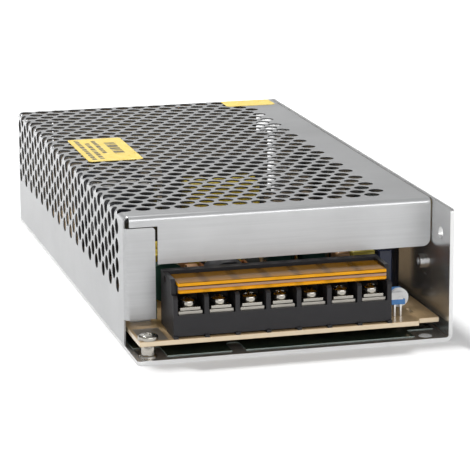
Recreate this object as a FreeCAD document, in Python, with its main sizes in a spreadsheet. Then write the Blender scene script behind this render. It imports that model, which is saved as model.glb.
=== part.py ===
import FreeCAD, Part
import math
import os
import re
import Sketcher

# Mesh case switching power supply: a folded sheet chassis, a folded perforated cover, and a circuit
# board with a seven-way terminal block under a hinged cover. Lengths are in millimetres.
# Places are measured from the case's front left bottom corner: x to the right along the terminals,
# y back along the case, z up. Each finished piece is then moved so that the origin lies at the
# middle of the case's footprint.

SIZES = {
    # chassis: base plate and right wall, one folded sheet
    "case_width": 98, "case_length": 199, "case_height": 41,
    "base_thickness": 1.2, "wall_thickness": 1.2, "fold_radius": 2, "corner_radius": 1.2,
    # screw holes that hold the case to a panel
    "mount_edge": 24.5, "mount_inset": 24, "mount_hole_radius": 1.65,
    "collar_wall": 1.1, "collar_height": 1.5,
    "side_mount_height": 19.4, "side_mount_radius": 1.25, "side_collar_wall": 1.05,
    "wall_hole_setback": 8.6, "wall_hole_height": 32, "wall_hole_radius": 2,
    "base_hole_inset": 7.3, "base_hole_setback": 4, "base_hole_radius": 2.15,
    # perforated cover: top, left wall, front lip, left flange and rear panel, one folded sheet
    "cover_thickness": 0.8, "cover_fold": 1.7, "cover_gap": 0.3, "fold_relief": 0.1,
    "lip_setback": 17, "lip_foot": 26, "lip_left": 10.4, "lip_corner": 2.3, "lip_strip_foot": 37.7,
    "flange_right": 9.6, "flange_foot": 9.2, "flange_top": 37.4, "flange_corner": 1,
    "notch_left": 1.2, "notch_right": 1.7, "notch_top": 40,
    "slit_left": 12.8, "slit_width": 0.4, "rear_gap": 1.1, "rear_cut_setback": 3,
    "rear_notch_width": 4.4, "rear_notch_foot": 28.5, "rear_notch_top": 35,
    "hole_pitch": 10.5, "hole_width": 8, "first_row": 10, "last_row_margin": 6.6,
    "top_first": 5.9, "top_margin": 15, "side_first": 19, "side_margin": 4.8, "punch_depth": 3,
    "tab_depth": 8, "tab_length": 12, "tab_first": 56, "tab_spacing": 86,
    # stickers on the cover
    "label_thickness": 0.12, "label_corner": 1.2, "label_width": 18.5, "label_length": 38.5,
    "label_left": 6.8, "label_setback": 100.4,
    "rear_label_width": 18.5, "rear_label_length": 10.5,
    "rear_label_side_gap": 1.5, "rear_label_end_gap": 2.5,
    # countersunk screws through the right wall
    "flush_shank": 1.45, "flush_head_depth": 1, "thread_clearance": 0.05, "thread_room": 0.12,
    "cover_screw_length": 5, "cover_screw_drop": 4.5,
    # insulating film on the base
    "film_thickness": 0.25, "film_left": 1.6, "film_front": 3.5, "film_margin": 1.3,
    "film_corner_width": 8.2, "film_corner_depth": 10.5, "film_notch_left": 29.7, "film_notch_width": 4.3,
    "film_notch_depth": 9, "film_notch_round": 1.6, "film_step_width": 8.5, "film_step_setback": 10.5,
    "film_clearance": 0.4,
    # circuit board, its standoffs and screws
    "board_thickness": 1.6, "board_left": 1.3, "board_front": 2.7, "board_right_gap": 1.3,
    "board_rear_gap": 1.2, "board_step_width": 7.3, "board_step_setback": 5.3, "board_step_slope": 1,
    "board_slot_inset": 6.5, "board_slot_front": 12.5, "board_slot_width": 1, "board_slot_length": 5,
    "standoff_height": 3.6, "standoff_radius": 2.1, "standoff_foot_radius": 2.7, "standoff_foot_height": 0.5,
    "standoff_left": 4.4, "standoff_front": 5.4, "standoff_right": 6.4, "standoff_front_right": 31,
    "standoff_rear": 8,
    "board_screw_shank": 1.25, "board_screw_length": 4,
    "board_screw_head": 3.1, "board_screw_head_height": 1.9,
    # terminal block
    "terminal_count": 7, "terminal_pitch": 9.5, "block_left": 11.7, "divider_thickness": 1.4,
    "block_front": 3.4, "block_rear": 19.3, "block_lift": 0.6, "foot_reach": 0.8, "foot_height": 0.8,
    "floor_height": 7, "cell_rear": 12.5, "divider_height": 12.8, "divider_rise": 0.5, "divider_corner": 0.8,
    "step_height": 13.8, "step_rear": 16, "block_height": 17.6, "ear_front": 6, "ear_chamfer": 1,
    "ear_height": 17.4, "well_size": 4.8, "leg_slot_rear": 12.3, "leg_slot_depth": 1.2, "leg_slot_width": 5,
    # contacts, clamp plates and screws
    "contact_thickness": 1, "contact_width": 7.4, "contact_front": 4.2, "contact_end": 12.3,
    "screw_setback": 8, "collar_radius": 2.1, "collar_depth": 1.8, "leg_thickness": 0.8, "leg_width": 4.6,
    "clamp_width": 6.3, "clamp_depth": 7.2, "clamp_thickness": 1, "clamp_gap": 0.1,
    "screw_head_radius": 2.75, "screw_head_height": 2.2, "screw_head_gap": 0.05, "screw_shank": 1.4,
    "screw_length": 6.5, "cross_width": 0.8, "cross_length": 3, "cross_depth": 0.9,
    "round_sides": 14, "small_sides": 10, "wheel_sides": 20,
    # hinged terminal cover
    "lid_front": 3.5, "lid_thickness": 1, "lid_end_gap": 0.3, "lid_lip_height": 3.2, "lid_rear": 15,
    "lid_edge_round": 0.7, "lid_groove_depth": 0.3, "lid_groove_drop": 1, "lid_groove_height": 0.5,
    "hinge_setback": 14, "hinge_height": 22.2, "hinge_radius": 1, "hinge_reach": 1.3, "hinge_clearance": 0.05,
    "lid_slot_inset": 2.2, "lid_slot_width": 0.8, "lid_slot_front": 7, "lid_slot_length": 5,
    # output trimmer
    "trimmer_left": 81.5, "trimmer_width": 4.3, "trimmer_front": 9, "trimmer_face": 1, "trimmer_foot": 10.2,
    "trimmer_band": 1.6, "trimmer_rear": 12, "trimmer_block_depth": 2.6, "trimmer_block_height": 4.2,
    "cap_left": 81.3, "cap_width": 3.7, "cap_height": 2.2, "dial_x": 84.4, "dial_z": 12, "dial_radius": 2.95,
    "dial_front": 10.3, "dial_thickness": 1.4, "dial_shaft": 0.8, "dial_clearance": 0.05,
    "pin_size": 0.6, "pin_left": 82.3, "pin_right": 84.2, "pin_front": 9.2, "pin_rear": 13,
    # mains input parts
    "fuse_x": 6.6, "fuse_y": 24, "fuse_radius": 2.6, "fuse_length": 20, "fuse_lift": 2.2, "clip_length": 5,
    "clip_wall": 0.6, "clip_rise": 4.2, "clip_mouth": 4.2, "clip_first": 1, "clip_spacing": 13,
    "varistor_x": 15.2, "varistor_y": 25, "varistor_radius": 6.3, "varistor_depth": 4.4, "varistor_lift": 5.4,
    "thermistor_x": 44, "thermistor_y": 42, "thermistor_radius": 5,
    "thermistor_depth": 4, "thermistor_lift": 5,
    "lead_size": 0.7, "lead_spacing": 7.5, "lead_grip": 2.5,
    "earth_x": 21.6, "earth_y": 27.5, "earth_radius": 4.4,
    "earth_depth": 3.4, "earth_lift": 7.6, "earth_spacing": 15,
    "choke_x": 34.8, "choke_y": 26, "choke_radius": 9.2, "choke_hole": 4, "choke_depth": 9, "coil_wire": 1,
    "core_seat": 0.3, "wire_gap": 0.1, "wire_foot_share": 0.55, "wire_height_share": 1.25,
    "x_cap_x": 13, "x_cap_y": 47, "x_cap_width": 18, "x_cap_depth": 8,
    "x_cap_height": 15, "x_cap_spacing": 10.5,
    "bridge_x": 6, "bridge_y": 69, "bridge_width": 22, "bridge_depth": 4,
    "bridge_height": 17, "bridge_lift": 4, "bridge_pitch": 5.5,
    # storage, transformer and output parts
    "bulk_x": 16, "bulk_y": 90, "bulk_radius": 11, "bulk_height": 30, "bulk_spacing": 24,
    "core_x": 36, "core_y": 98, "core_width": 33, "core_depth": 34, "core_height": 28, "core_leg": 8,
    "core_thickness": 12, "core_lift": 2, "coil_gap": 0.4, "bobbin_foot": 3,
    "drive_x": 38, "drive_y": 74, "drive_width": 16, "drive_depth": 14, "drive_height": 12, "drive_leg": 4,
    "drive_thickness": 6,
    "output_choke_x": 72, "output_choke_y": 44, "output_choke_radius": 13, "output_choke_hole": 6.5,
    "output_choke_depth": 11,
    "output_cap_radius": 5, "output_cap_height": 19.5, "output_cap_first": 50.8, "output_cap_y": 27,
    "output_cap_spacing": 10.8,
    "output_cap_rear_x": 66, "output_cap_rear_y": 66, "output_cap_rear_spacing": 11.5,
    "side_cap_gap": 2.4, "side_cap_y": 41, "side_cap_radius": 4, "side_cap_height": 18,
    "film_cap_x": 68, "film_cap_y": 22, "film_cap_height": 18, "film_cap_depth": 7, "tan_width": 4.4,
    "yellow_left": 5, "yellow_width": 7.4, "blue_left": 13.4, "blue_width": 4.6,
    # power devices pressed on the right wall
    "pad_thickness": 0.3, "device_width": 10, "device_depth": 4.6, "device_height": 15, "device_lift": 8,
    "device_gap": 8, "rectifier_y": 62, "transistor_y": 126, "leg_size": 0.8, "leg_pitch": 2.5,
    "bar_thickness": 1.5, "bar_height": 7, "bar_lift": 12, "bar_margin": 1, "pad_margin": 1,
    # control parts
    "chip_x": 52, "chip_share": 0.342, "chip_width": 6.4, "chip_length": 19,
    "chip_height": 3.4, "chip_lift": 0.6,
    "resistor_radius": 2.2, "resistor_length": 12, "resistor_x": 62, "resistor_y": 136, "resistor_spacing": 7,
    "resistor_lift": 1, "small_radius": 1.1, "small_length": 6.5, "small_x": 66, "small_y": 150,
    "small_spacing": 4, "small_cap_radius": 2.5, "small_cap_height": 11,
    "small_cap_x": 20, "small_cap_y": 140, "small_cap_spacing": 9,
}

BOARD_FOOT = "(base_thickness + standoff_height)"
BOARD_TOP = "(base_thickness + standoff_height + board_thickness)"
BOARD_REAR = "(case_length - board_rear_gap)"
INNER_WALL = "(case_width - wall_thickness)"
COVER_RIGHT = "(case_width - wall_thickness - cover_gap)"
MIDDLE_SHIFT = ("-case_width / 2", "-case_length / 2", 0)
TOUCH = 0.01

doc = FreeCAD.newDocument("power_supply")
sheet = doc.addObject("Spreadsheet::Sheet", "Sizes")
for row, (word, amount) in enumerate(SIZES.items(), start=1):
    sheet.set("A%d" % row, word)
    sheet.set("B%d" % row, str(amount))
    sheet.setAlias("B%d" % row, word)
sums = doc.addObject("Spreadsheet::Sheet", "Sums")
doc.recompute()
finished = []


def named(formula):
    """A formula in plain words, with each word pointing at its cell."""
    return re.sub(r"\b(?!cos|sin)[a-z][a-z_]*", lambda found: "Sizes." + found.group(), str(formula))


def number(formula):
    """What a formula comes to."""
    sums.set("A1", "=" + named(formula))
    sums.recompute()
    return float(sums.get("A1"))


def bind(thing, where, formula):
    """Tie one property of a thing to the sheet."""
    thing.setExpression(where, named(formula))


def place(thing, spot):
    for axis, formula in zip("xyz", spot):
        bind(thing, "Placement.Base." + axis, formula)
    return thing


def keep(thing, label):
    """Name a finished piece and move it into the row's frame."""
    thing.Label = label
    place(thing, MIDDLE_SHIFT)
    finished.append(thing)
    return thing


# Solids from primitives

TURNS = {
    "x": FreeCAD.Rotation(FreeCAD.Vector(0, 1, 0), 90),
    "y": FreeCAD.Rotation(FreeCAD.Vector(1, 0, 0), -90),
    "z": FreeCAD.Rotation(),
}


def block(spot, sides):
    box = doc.addObject("Part::Box", "block")
    for side, formula in zip(("Length", "Width", "Height"), sides):
        bind(box, side, formula)
    return place(box, spot)


def rod(spot, radius, length, along="z"):
    """A round rod that starts at a spot and runs along an axis."""
    cylinder = doc.addObject("Part::Cylinder", "rod")
    bind(cylinder, "Radius", radius)
    bind(cylinder, "Height", length)
    cylinder.Placement.Rotation = TURNS[along]
    return place(cylinder, spot)


def post(spot, radius, length, sides="round_sides", along="z"):
    """A rod drawn with flat sides, for round pieces that repeat or hide inside the case."""
    prism = doc.addObject("Part::Prism", "post")
    bind(prism, "Polygon", sides)
    bind(prism, "Circumradius", radius)
    bind(prism, "Height", length)
    prism.Placement.Rotation = TURNS[along]
    return place(prism, spot)


def cone(spot, radius, end_radius, length, along="z"):
    taper = doc.addObject("Part::Cone", "cone")
    bind(taper, "Radius1", radius)
    bind(taper, "Radius2", end_radius)
    bind(taper, "Height", length)
    taper.Placement.Rotation = TURNS[along]
    return place(taper, spot)


def fuse(*pieces):
    whole = doc.addObject("Part::MultiFuse", "joined")
    whole.Shapes = pieces
    whole.Refine = True
    return whole


def group(*pieces):
    whole = doc.addObject("Part::Compound", "group")
    whole.Links = pieces
    return whole


def cut(base, *tools):
    left = doc.addObject("Part::Cut", "cut")
    left.Base = base
    left.Tool = tools[0] if len(tools) == 1 else group(*tools)
    return left


def common(first, second):
    shared = doc.addObject("Part::Common", "shared")
    shared.Base = first
    shared.Tool = second
    return shared


# Solids from sketches

def origin_part(body, role):
    return next(part for part in body.Origin.OriginFeatures if part.Role == role)


def pin_point(sketch, geometry, point, spot):
    """Hold a sketch point by its two distances from the sketch's origin."""
    sides = (("DistanceX", -2, spot[0]), ("DistanceY", -1, spot[1]))
    for kind, axis, formula in sides:
        if formula == 0:
            sketch.addConstraint(Sketcher.Constraint("PointOnObject", geometry, point, axis))
        else:
            rule = Sketcher.Constraint(kind, -1, 1, geometry, point, number(formula))
            bind(sketch, "Constraints[%d]" % sketch.addConstraint(rule), formula)


def draw(body, plane, outlines=(), rings=(), lift=0):
    """A sketch on one of the body's planes: closed outlines of straight lines, and circles."""
    sketch = body.newObject("Sketcher::SketchObject", "sketch")
    sketch.AttachmentSupport = [(origin_part(body, plane), "")]
    sketch.MapMode = "FlatFace"
    bind(sketch, "AttachmentOffset.Base.z", lift)
    for corners in outlines:
        spots = [FreeCAD.Vector(number(u), number(v), 0) for u, v in corners]
        ends = spots[1:] + spots[:1]
        lines = sketch.addGeometry([Part.LineSegment(a, b) for a, b in zip(spots, ends)])
        for line, following in zip(lines, lines[1:] + lines[:1]):
            sketch.addConstraint(Sketcher.Constraint("Coincident", line, 2, following, 1))
        for line, corner in zip(lines, corners):
            pin_point(sketch, line, 1, corner)
    for u, v, radius in rings:
        centre = FreeCAD.Vector(number(u), number(v), 0)
        ring = sketch.addGeometry(Part.Circle(centre, FreeCAD.Vector(0, 0, 1), number(radius)))
        pin_point(sketch, ring, 3, (u, v))
        rule = sketch.addConstraint(Sketcher.Constraint("Radius", ring, number(radius)))
        bind(sketch, "Constraints[%d]" % rule, radius)
    return sketch


def rectangle(left, low, right, high):
    return [(left, low), (right, low), (right, high), (left, high)]


def flat_ring(u, v, radius, sides):
    """The outline of a round boss or hole, drawn with flat sides."""
    corners = []
    for side in range(int(number(sides))):
        turn = "360 * %d / %s" % (side, sides)
        corners.append(("%s + (%s) * cos(%s)" % (u, radius, turn), "%s + (%s) * sin(%s)" % (v, radius, turn)))
    return corners


def pad(body, sketch, length, reverse=False):
    feature = body.newObject("PartDesign::Pad", "pad")
    feature.Profile = sketch
    feature.Reversed = reverse
    bind(feature, "Length", length)
    return feature


def pocket(body, sketch, length=None, reverse=False):
    """A cut from the sketch's plane, right through unless it has a length."""
    feature = body.newObject("PartDesign::Pocket", "pocket")
    feature.Profile = sketch
    feature.Reversed = reverse
    if length is None:
        feature.Type = "ThroughAll"
    else:
        bind(feature, "Length", length)
    return feature


def repeat(body, feature, count, spacing):
    """Copies of a feature in a row along x."""
    pattern = body.newObject("PartDesign::LinearPattern", "row")
    pattern.Originals = [feature]
    pattern.Direction = (origin_part(body, "X_Axis"), [""])
    pattern.Mode = "Spacing"
    bind(pattern, "Offset", spacing)
    bind(pattern, "Occurrences", count)
    body.Tip = pattern
    return pattern


def lies_on(shape, planes):
    """Whether an edge or face lies in every given plane, such as x and z both fixed."""
    box = shape.BoundBox
    spans = {"x": (box.XMin, box.XMax), "y": (box.YMin, box.YMax), "z": (box.ZMin, box.ZMax),
             "middle_y": (box.Center.y,), "middle_z": (box.Center.z,)}
    return all(abs(end - number(formula)) < TOUCH for axis, formula in planes.items() for end in spans[axis])


def pick(body, kind, *wanted):
    """Names of the body's edges or faces that lie in the wanted planes."""
    doc.recompute()
    shapes = getattr(body.Tip.Shape, kind + "s")
    names = []
    for planes in wanted:
        found = ["%s%d" % (kind, i) for i, shape in enumerate(shapes, start=1) if lies_on(shape, planes)]
        if not found:
            raise RuntimeError("no %s of %s at %s" % (kind, body.Name, planes))
        names.extend(found)
    return (body.Tip, names)


def round_edges(body, radius, *wanted):
    base = pick(body, "Edge", *wanted)
    fillet = body.newObject("PartDesign::Fillet", "fold")
    fillet.Base = base
    bind(fillet, "Radius", radius)
    return fillet


def bevel_edges(body, size, *wanted):
    base = pick(body, "Edge", *wanted)
    chamfer = body.newObject("PartDesign::Chamfer", "bevel")
    chamfer.Base = base
    bind(chamfer, "Size", size)
    return chamfer


# Places that several pieces share

COVER_SCREWS = [("tab_first + tab_length / 2", "case_height - cover_screw_drop"),
                ("tab_first + tab_spacing + tab_length / 2", "case_height - cover_screw_drop")]


def pair_middle(first):
    """Where the clamp screw stands, between the two devices of a pair."""
    return "%s + device_width + device_gap / 2" % first


BAR_MIDDLE = BOARD_TOP + " + bar_lift + bar_height / 2"
CLAMP_SCREWS = [(pair_middle("rectifier_y"), BAR_MIDDLE), (pair_middle("transistor_y"), BAR_MIDDLE)]
STANDOFFS = [("standoff_left", "standoff_front"),
             ("case_width - standoff_right", "standoff_front_right"),
             ("standoff_left", "case_length - standoff_rear"),
             ("case_width - standoff_right", "case_length - standoff_rear")]
BASE_MOUNTS = [(x, y) for x in ("mount_inset", "case_width - mount_inset")
               for y in ("mount_edge", "case_length - mount_edge")]
SIDE_MOUNTS = [("mount_edge", "side_mount_height"), ("case_length - mount_edge", "side_mount_height")]


def chassis():
    """Base plate and right wall folded from one sheet, with its mounting holes."""
    body = doc.addObject("PartDesign::Body", "chassis")
    section = [(0, 0), ("case_width", 0), ("case_width", "case_height"), (INNER_WALL, "case_height"),
               (INNER_WALL, "base_thickness"), (0, "base_thickness")]
    pad(body, draw(body, "XZ_Plane", [section]), "case_length", reverse=True)
    round_edges(body, "fold_radius", {"x": "case_width", "z": 0})
    round_edges(body, "fold_radius - base_thickness", {"x": INNER_WALL, "z": "base_thickness"})
    round_edges(body, "corner_radius", {"y": 0, "z": "case_height"}, {"y": "case_length", "z": "case_height"},
                {"x": 0, "y": 0}, {"x": 0, "y": "case_length"})
    base_collars = [flat_ring(x, y, "mount_hole_radius + collar_wall", "round_sides") for x, y in BASE_MOUNTS]
    pad(body, draw(body, "XY_Plane", base_collars), "base_thickness + collar_height")
    wall_collars = [flat_ring(y, z, "side_mount_radius + side_collar_wall", "round_sides")
                    for y, z in SIDE_MOUNTS]
    wall_sketch = draw(body, "YZ_Plane", wall_collars, lift=INNER_WALL + " - collar_height")
    pad(body, wall_sketch, "wall_thickness + collar_height")
    base_holes = [(x, y, "mount_hole_radius") for x, y in BASE_MOUNTS]
    base_holes += [("case_width - base_hole_inset", y, "base_hole_radius")
                   for y in ("base_hole_setback", "case_length - base_hole_setback")]
    pocket(body, draw(body, "XY_Plane", rings=base_holes), reverse=True)
    wall_holes = [(y, z, "side_mount_radius") for y, z in SIDE_MOUNTS]
    wall_holes += [(y, "wall_hole_height", "wall_hole_radius")
                   for y in ("wall_hole_setback", "case_length - wall_hole_setback")]
    wall_holes += [(y, z, "flush_shank + thread_clearance") for y, z in COVER_SCREWS + CLAMP_SCREWS]
    pocket(body, draw(body, "YZ_Plane", rings=wall_holes), reverse=True)
    bevel_edges(body, "flush_head_depth", *[{"x": "case_width", "middle_y": y, "middle_z": z}
                                            for y, z in COVER_SCREWS + CLAMP_SCREWS])
    return keep(body, "chassis")


def cover_sheet():
    """The cover before it is perforated: a filleted block, shelled, then trimmed to its flanges."""
    body = doc.addObject("PartDesign::Body", "cover_sheet")
    plan = rectangle(0, "lip_setback", COVER_RIGHT, "case_length")
    pad(body, draw(body, "XY_Plane", [plan], lift="base_thickness"), "case_height - base_thickness")
    round_edges(body, "cover_fold", {"x": 0, "z": "case_height"}, {"y": "lip_setback", "z": "case_height"},
                {"y": "case_length", "z": "case_height"}, {"x": 0, "y": "lip_setback"},
                {"x": 0, "y": "case_length"})
    open_faces = pick(body, "Face", {"z": "base_thickness"}, {"x": COVER_RIGHT})
    shell = body.newObject("PartDesign::Thickness", "sheet")
    shell.Base = open_faces
    shell.Reversed = True
    bind(shell, "Value", "cover_thickness")
    front = [(0, 0), ("case_width", 0), ("case_width", "lip_foot"), ("lip_left", "lip_foot"),
             ("lip_left", "lip_strip_foot"), ("notch_right", "lip_strip_foot"), ("notch_right", "notch_top"),
             ("notch_left", "notch_top"), ("notch_left", "lip_strip_foot"), (0, "lip_strip_foot"),
             (0, "flange_top"), ("flange_right", "flange_top"), ("flange_right", "flange_foot"),
             (0, "flange_foot")]
    pocket(body, draw(body, "XZ_Plane", [front]), "lip_setback + cover_fold + fold_relief")
    round_edges(body, "lip_corner", {"x": COVER_RIGHT, "z": "lip_foot"})
    round_edges(body, "flange_corner", {"x": "flange_right", "z": "flange_top"})
    fold_foot = "case_height - cover_fold"
    panel_right = "case_width - wall_thickness - cover_gap - rear_gap"
    slit = rectangle("slit_left", 0, "slit_left + slit_width", fold_foot)
    edge = [(panel_right, 0), ("case_width", 0), ("case_width", fold_foot), (panel_right, fold_foot),
            (panel_right, "rear_notch_top"), (panel_right + " - rear_notch_width", "rear_notch_top"),
            (panel_right + " - rear_notch_width", "rear_notch_foot"), (panel_right, "rear_notch_foot")]
    pocket(body, draw(body, "XZ_Plane", [slit, edge], lift="rear_cut_setback - case_length"))
    tabs = []
    for first in ("tab_first", "tab_first + tab_spacing"):
        tabs.append(rectangle(first, "case_height - tab_depth", first + " + tab_length",
                              "case_height - cover_thickness / 2"))
    holes = [(y, z, "flush_shank + thread_clearance") for y, z in COVER_SCREWS]
    pad(body, draw(body, "YZ_Plane", tabs, holes, lift=COVER_RIGHT + " - cover_thickness"), "cover_thickness")
    return body


def stations(first, last, step):
    """Evenly spaced places from first up to last."""
    return [first + step * i for i in range(int((last - first) / step + TOUCH) + 1)]


def punch(centre, across, along, depth):
    """One four-sided punch: its corners point at its neighbours, and it is driven along one direction."""
    side = along.cross(across)
    reach = number("hole_width") / 2
    corners = [centre + across * reach, centre + side * reach, centre - across * reach, centre - side * reach]
    return Part.Face(Part.makePolygon(corners + corners[:1])).extrude(along * depth)


def perforation():
    """Every punch of the top and of the left wall, in staggered rows across the case."""
    pitch = number("hole_pitch")
    depth = number("punch_depth")
    rows = stations(number("lip_setback + first_row"), number("case_length - last_row_margin"),
                    pitch * math.sqrt(3) / 2)
    top_start, top_end = number("top_first"), number("case_width - top_margin")
    side_start, side_end = number("side_first"), number("case_height - side_margin")
    right, up = FreeCAD.Vector(1, 0, 0), FreeCAD.Vector(0, 0, 1)
    punches = []
    for row, y in enumerate(rows):
        stagger = (row % 2) * pitch / 2
        for x in stations(top_start + stagger, top_end, pitch):
            centre = FreeCAD.Vector(x, y, number("case_height") - depth / 2)
            punches.append(punch(centre, right, up, depth))
        for z in stations(side_start + stagger, side_end, pitch):
            punches.append(punch(FreeCAD.Vector(-depth / 2, y, z), up, right, depth))
    tool = doc.addObject("Part::Feature", "perforation")
    tool.Shape = Part.makeCompound(punches)
    return tool


def stickers():
    """Two plain stickers on the top, with cropped corners: the rear one keeps to the rear right corner."""
    rear_left = COVER_RIGHT + " - rear_label_side_gap - rear_label_width"
    rear_front = "case_length - rear_label_end_gap - rear_label_length"
    for label, word, left, front in (("label_front", "label", "label_left", "label_setback"),
                                     ("label_rear", "rear_label", rear_left, rear_front)):
        right, rear = "%s + %s_width" % (left, word), "%s + %s_length" % (front, word)
        crop = "label_corner"
        corners = [("%s + %s" % (left, crop), front), ("%s - %s" % (right, crop), front),
                   (right, "%s + %s" % (front, crop)), (right, "%s - %s" % (rear, crop)),
                   ("%s - %s" % (right, crop), rear), ("%s + %s" % (left, crop), rear),
                   (left, "%s - %s" % (rear, crop)), (left, "%s + %s" % (front, crop))]
        body = doc.addObject("PartDesign::Body", label)
        pad(body, draw(body, "XY_Plane", [corners], lift="case_height"), "label_thickness")
        keep(body, label)


def insulating_film():
    """Thin film on the base, with a cut corner, a rounded notch and windows for what passes through."""
    right = INNER_WALL + " - film_margin"
    rear = "(case_length - cover_thickness - film_margin)"
    corner_right, corner_rear = "film_left + film_corner_width", "film_front + film_corner_depth"
    notch_right, notch_rear = "film_notch_left + film_notch_width", "film_front + film_notch_depth"
    step_left = right + " - film_step_width"
    corners = [(corner_right, "film_front"), ("film_notch_left", "film_front"),
               ("film_notch_left", notch_rear), (notch_right, notch_rear),
               (notch_right, "film_front"), (step_left, "film_front"),
               (step_left, "film_step_setback"), (right, "film_step_setback"), (right, rear),
               (corner_right, rear), (corner_right, rear + " - film_corner_depth"),
               ("film_left", rear + " - film_corner_depth"), ("film_left", corner_rear),
               (corner_right, corner_rear)]
    windows = [(x, y, "(mount_hole_radius + collar_wall + film_clearance)") for x, y in BASE_MOUNTS]
    windows += [(x, y, "(standoff_foot_radius + film_clearance)") for x, y in (STANDOFFS[1], STANDOFFS[3])]
    outlines = [corners]
    for x, y, reach in windows:
        outlines.append(rectangle("%s - %s" % (x, reach), "%s - %s" % (y, reach),
                                  "%s + %s" % (x, reach), "%s + %s" % (y, reach)))
    body = doc.addObject("PartDesign::Body", "insulating_film")
    pad(body, draw(body, "XY_Plane", outlines, lift="base_thickness"), "film_thickness")
    round_edges(body, "film_notch_round", {"x": "film_notch_left", "y": notch_rear},
                {"x": notch_right, "y": notch_rear})
    return keep(body, "insulating_film")


def circuit_board():
    """The board, stepped back at its front right corner, with screw holes and an isolation slot."""
    right = INNER_WALL + " - board_right_gap"
    step_left, slot_left = right + " - board_step_width", right + " - board_slot_inset"
    outline = [("board_left", "board_front"), (step_left, "board_front"),
               (step_left + " + board_step_slope", "board_step_setback"), (right, "board_step_setback"),
               (right, BOARD_REAR), ("board_left", BOARD_REAR)]
    slot = rectangle(slot_left, "board_slot_front", slot_left + " + board_slot_width",
                     "board_slot_front + board_slot_length")
    holes = [flat_ring(x, y, "board_screw_shank + thread_room", "small_sides") for x, y in STANDOFFS]
    body = doc.addObject("PartDesign::Body", "circuit_board")
    pad(body, draw(body, "XY_Plane", [outline, slot] + holes, lift=BOARD_FOOT), "board_thickness")
    return keep(body, "circuit_board")


def board_fixings():
    """Standoffs riveted to the base, and the screws that hold the board down on them."""
    standoffs, screws = [], []
    for x, y in STANDOFFS:
        stem = post((x, y, "base_thickness"), "standoff_radius", "standoff_height")
        foot = post((x, y, "base_thickness"), "standoff_foot_radius", "standoff_foot_height")
        bore = post((x, y, "base_thickness"), "board_screw_shank + thread_room", "standoff_height",
                    "small_sides")
        standoffs.append(cut(fuse(stem, foot), bore))
        shank_foot = BOARD_TOP + " - board_screw_length"
        shank = post((x, y, shank_foot), "board_screw_shank", "board_screw_length", "small_sides")
        head = post((x, y, BOARD_TOP), "board_screw_head", "board_screw_head_height")
        screws.append(fuse(shank, head))
    keep(group(*standoffs), "board_standoffs")
    keep(group(*screws), "board_screws")


BLOCK_FOOT = "(%s + block_lift)" % BOARD_TOP
CELL_FLOOR = "(%s + floor_height)" % BOARD_TOP
BLOCK_WIDTH = "(terminal_count * terminal_pitch + divider_thickness)"


def cell_middle(cell):
    """The middle of a terminal's cell, counted from the left."""
    return "block_left + divider_thickness / 2 + terminal_pitch * (%d + 0.5)" % cell


def terminal_block():
    """Moulded block: a stepped trunk, eight dividers on small feet, and two ears for the lid."""
    body = doc.addObject("PartDesign::Body", "terminal_block")
    step = BOARD_TOP + " + step_height"
    top = BOARD_TOP + " + block_height"
    trunk = [("block_front", BLOCK_FOOT), ("block_rear", BLOCK_FOOT), ("block_rear", top), ("step_rear", top),
             ("step_rear", step), ("cell_rear", step), ("cell_rear", CELL_FLOOR), ("block_front", CELL_FLOOR)]
    pad(body, draw(body, "YZ_Plane", [trunk], lift="block_left"), BLOCK_WIDTH)
    first_middle = cell_middle(0)
    well = rectangle(first_middle + " - well_size / 2", "screw_setback - well_size / 2",
                     first_middle + " + well_size / 2", "screw_setback + well_size / 2")
    slot = rectangle(first_middle + " - leg_slot_width / 2", "leg_slot_rear - leg_slot_depth",
                     first_middle + " + leg_slot_width / 2", "leg_slot_rear")
    wells = pocket(body, draw(body, "XY_Plane", [well, slot], lift=CELL_FLOOR))
    repeat(body, wells, "terminal_count", "terminal_pitch")
    foot_top = BOARD_TOP + " + foot_height"
    divider_top = BOARD_TOP + " + divider_height"
    divider = [("block_front - foot_reach", BOARD_TOP), ("cell_rear", BOARD_TOP),
               ("cell_rear", divider_top + " + divider_rise"), ("block_front + divider_corner", divider_top),
               ("block_front", divider_top + " - divider_corner"), ("block_front", foot_top),
               ("block_front - foot_reach", foot_top)]
    rib = pad(body, draw(body, "YZ_Plane", [divider], lift="block_left"), "divider_thickness")
    repeat(body, rib, "terminal_count + 1", "terminal_pitch")
    ear_top = BOARD_TOP + " + ear_height"
    ear = [("ear_front", CELL_FLOOR), ("step_rear", CELL_FLOOR), ("step_rear", ear_top),
           ("ear_front + ear_chamfer", ear_top), ("ear_front", ear_top + " - ear_chamfer")]
    hinge = [("hinge_setback", "hinge_height", "hinge_radius + hinge_clearance")]
    ears = pad(body, draw(body, "YZ_Plane", [ear], hinge, lift="block_left"), "divider_thickness")
    repeat(body, ears, 2, "terminal_count * terminal_pitch")
    return keep(body, "terminal_block")


CLAMP_FOOT = "(%s + contact_thickness + clamp_gap)" % CELL_FLOOR
CLAMP_TOP = "(%s + clamp_thickness)" % CLAMP_FOOT


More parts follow.
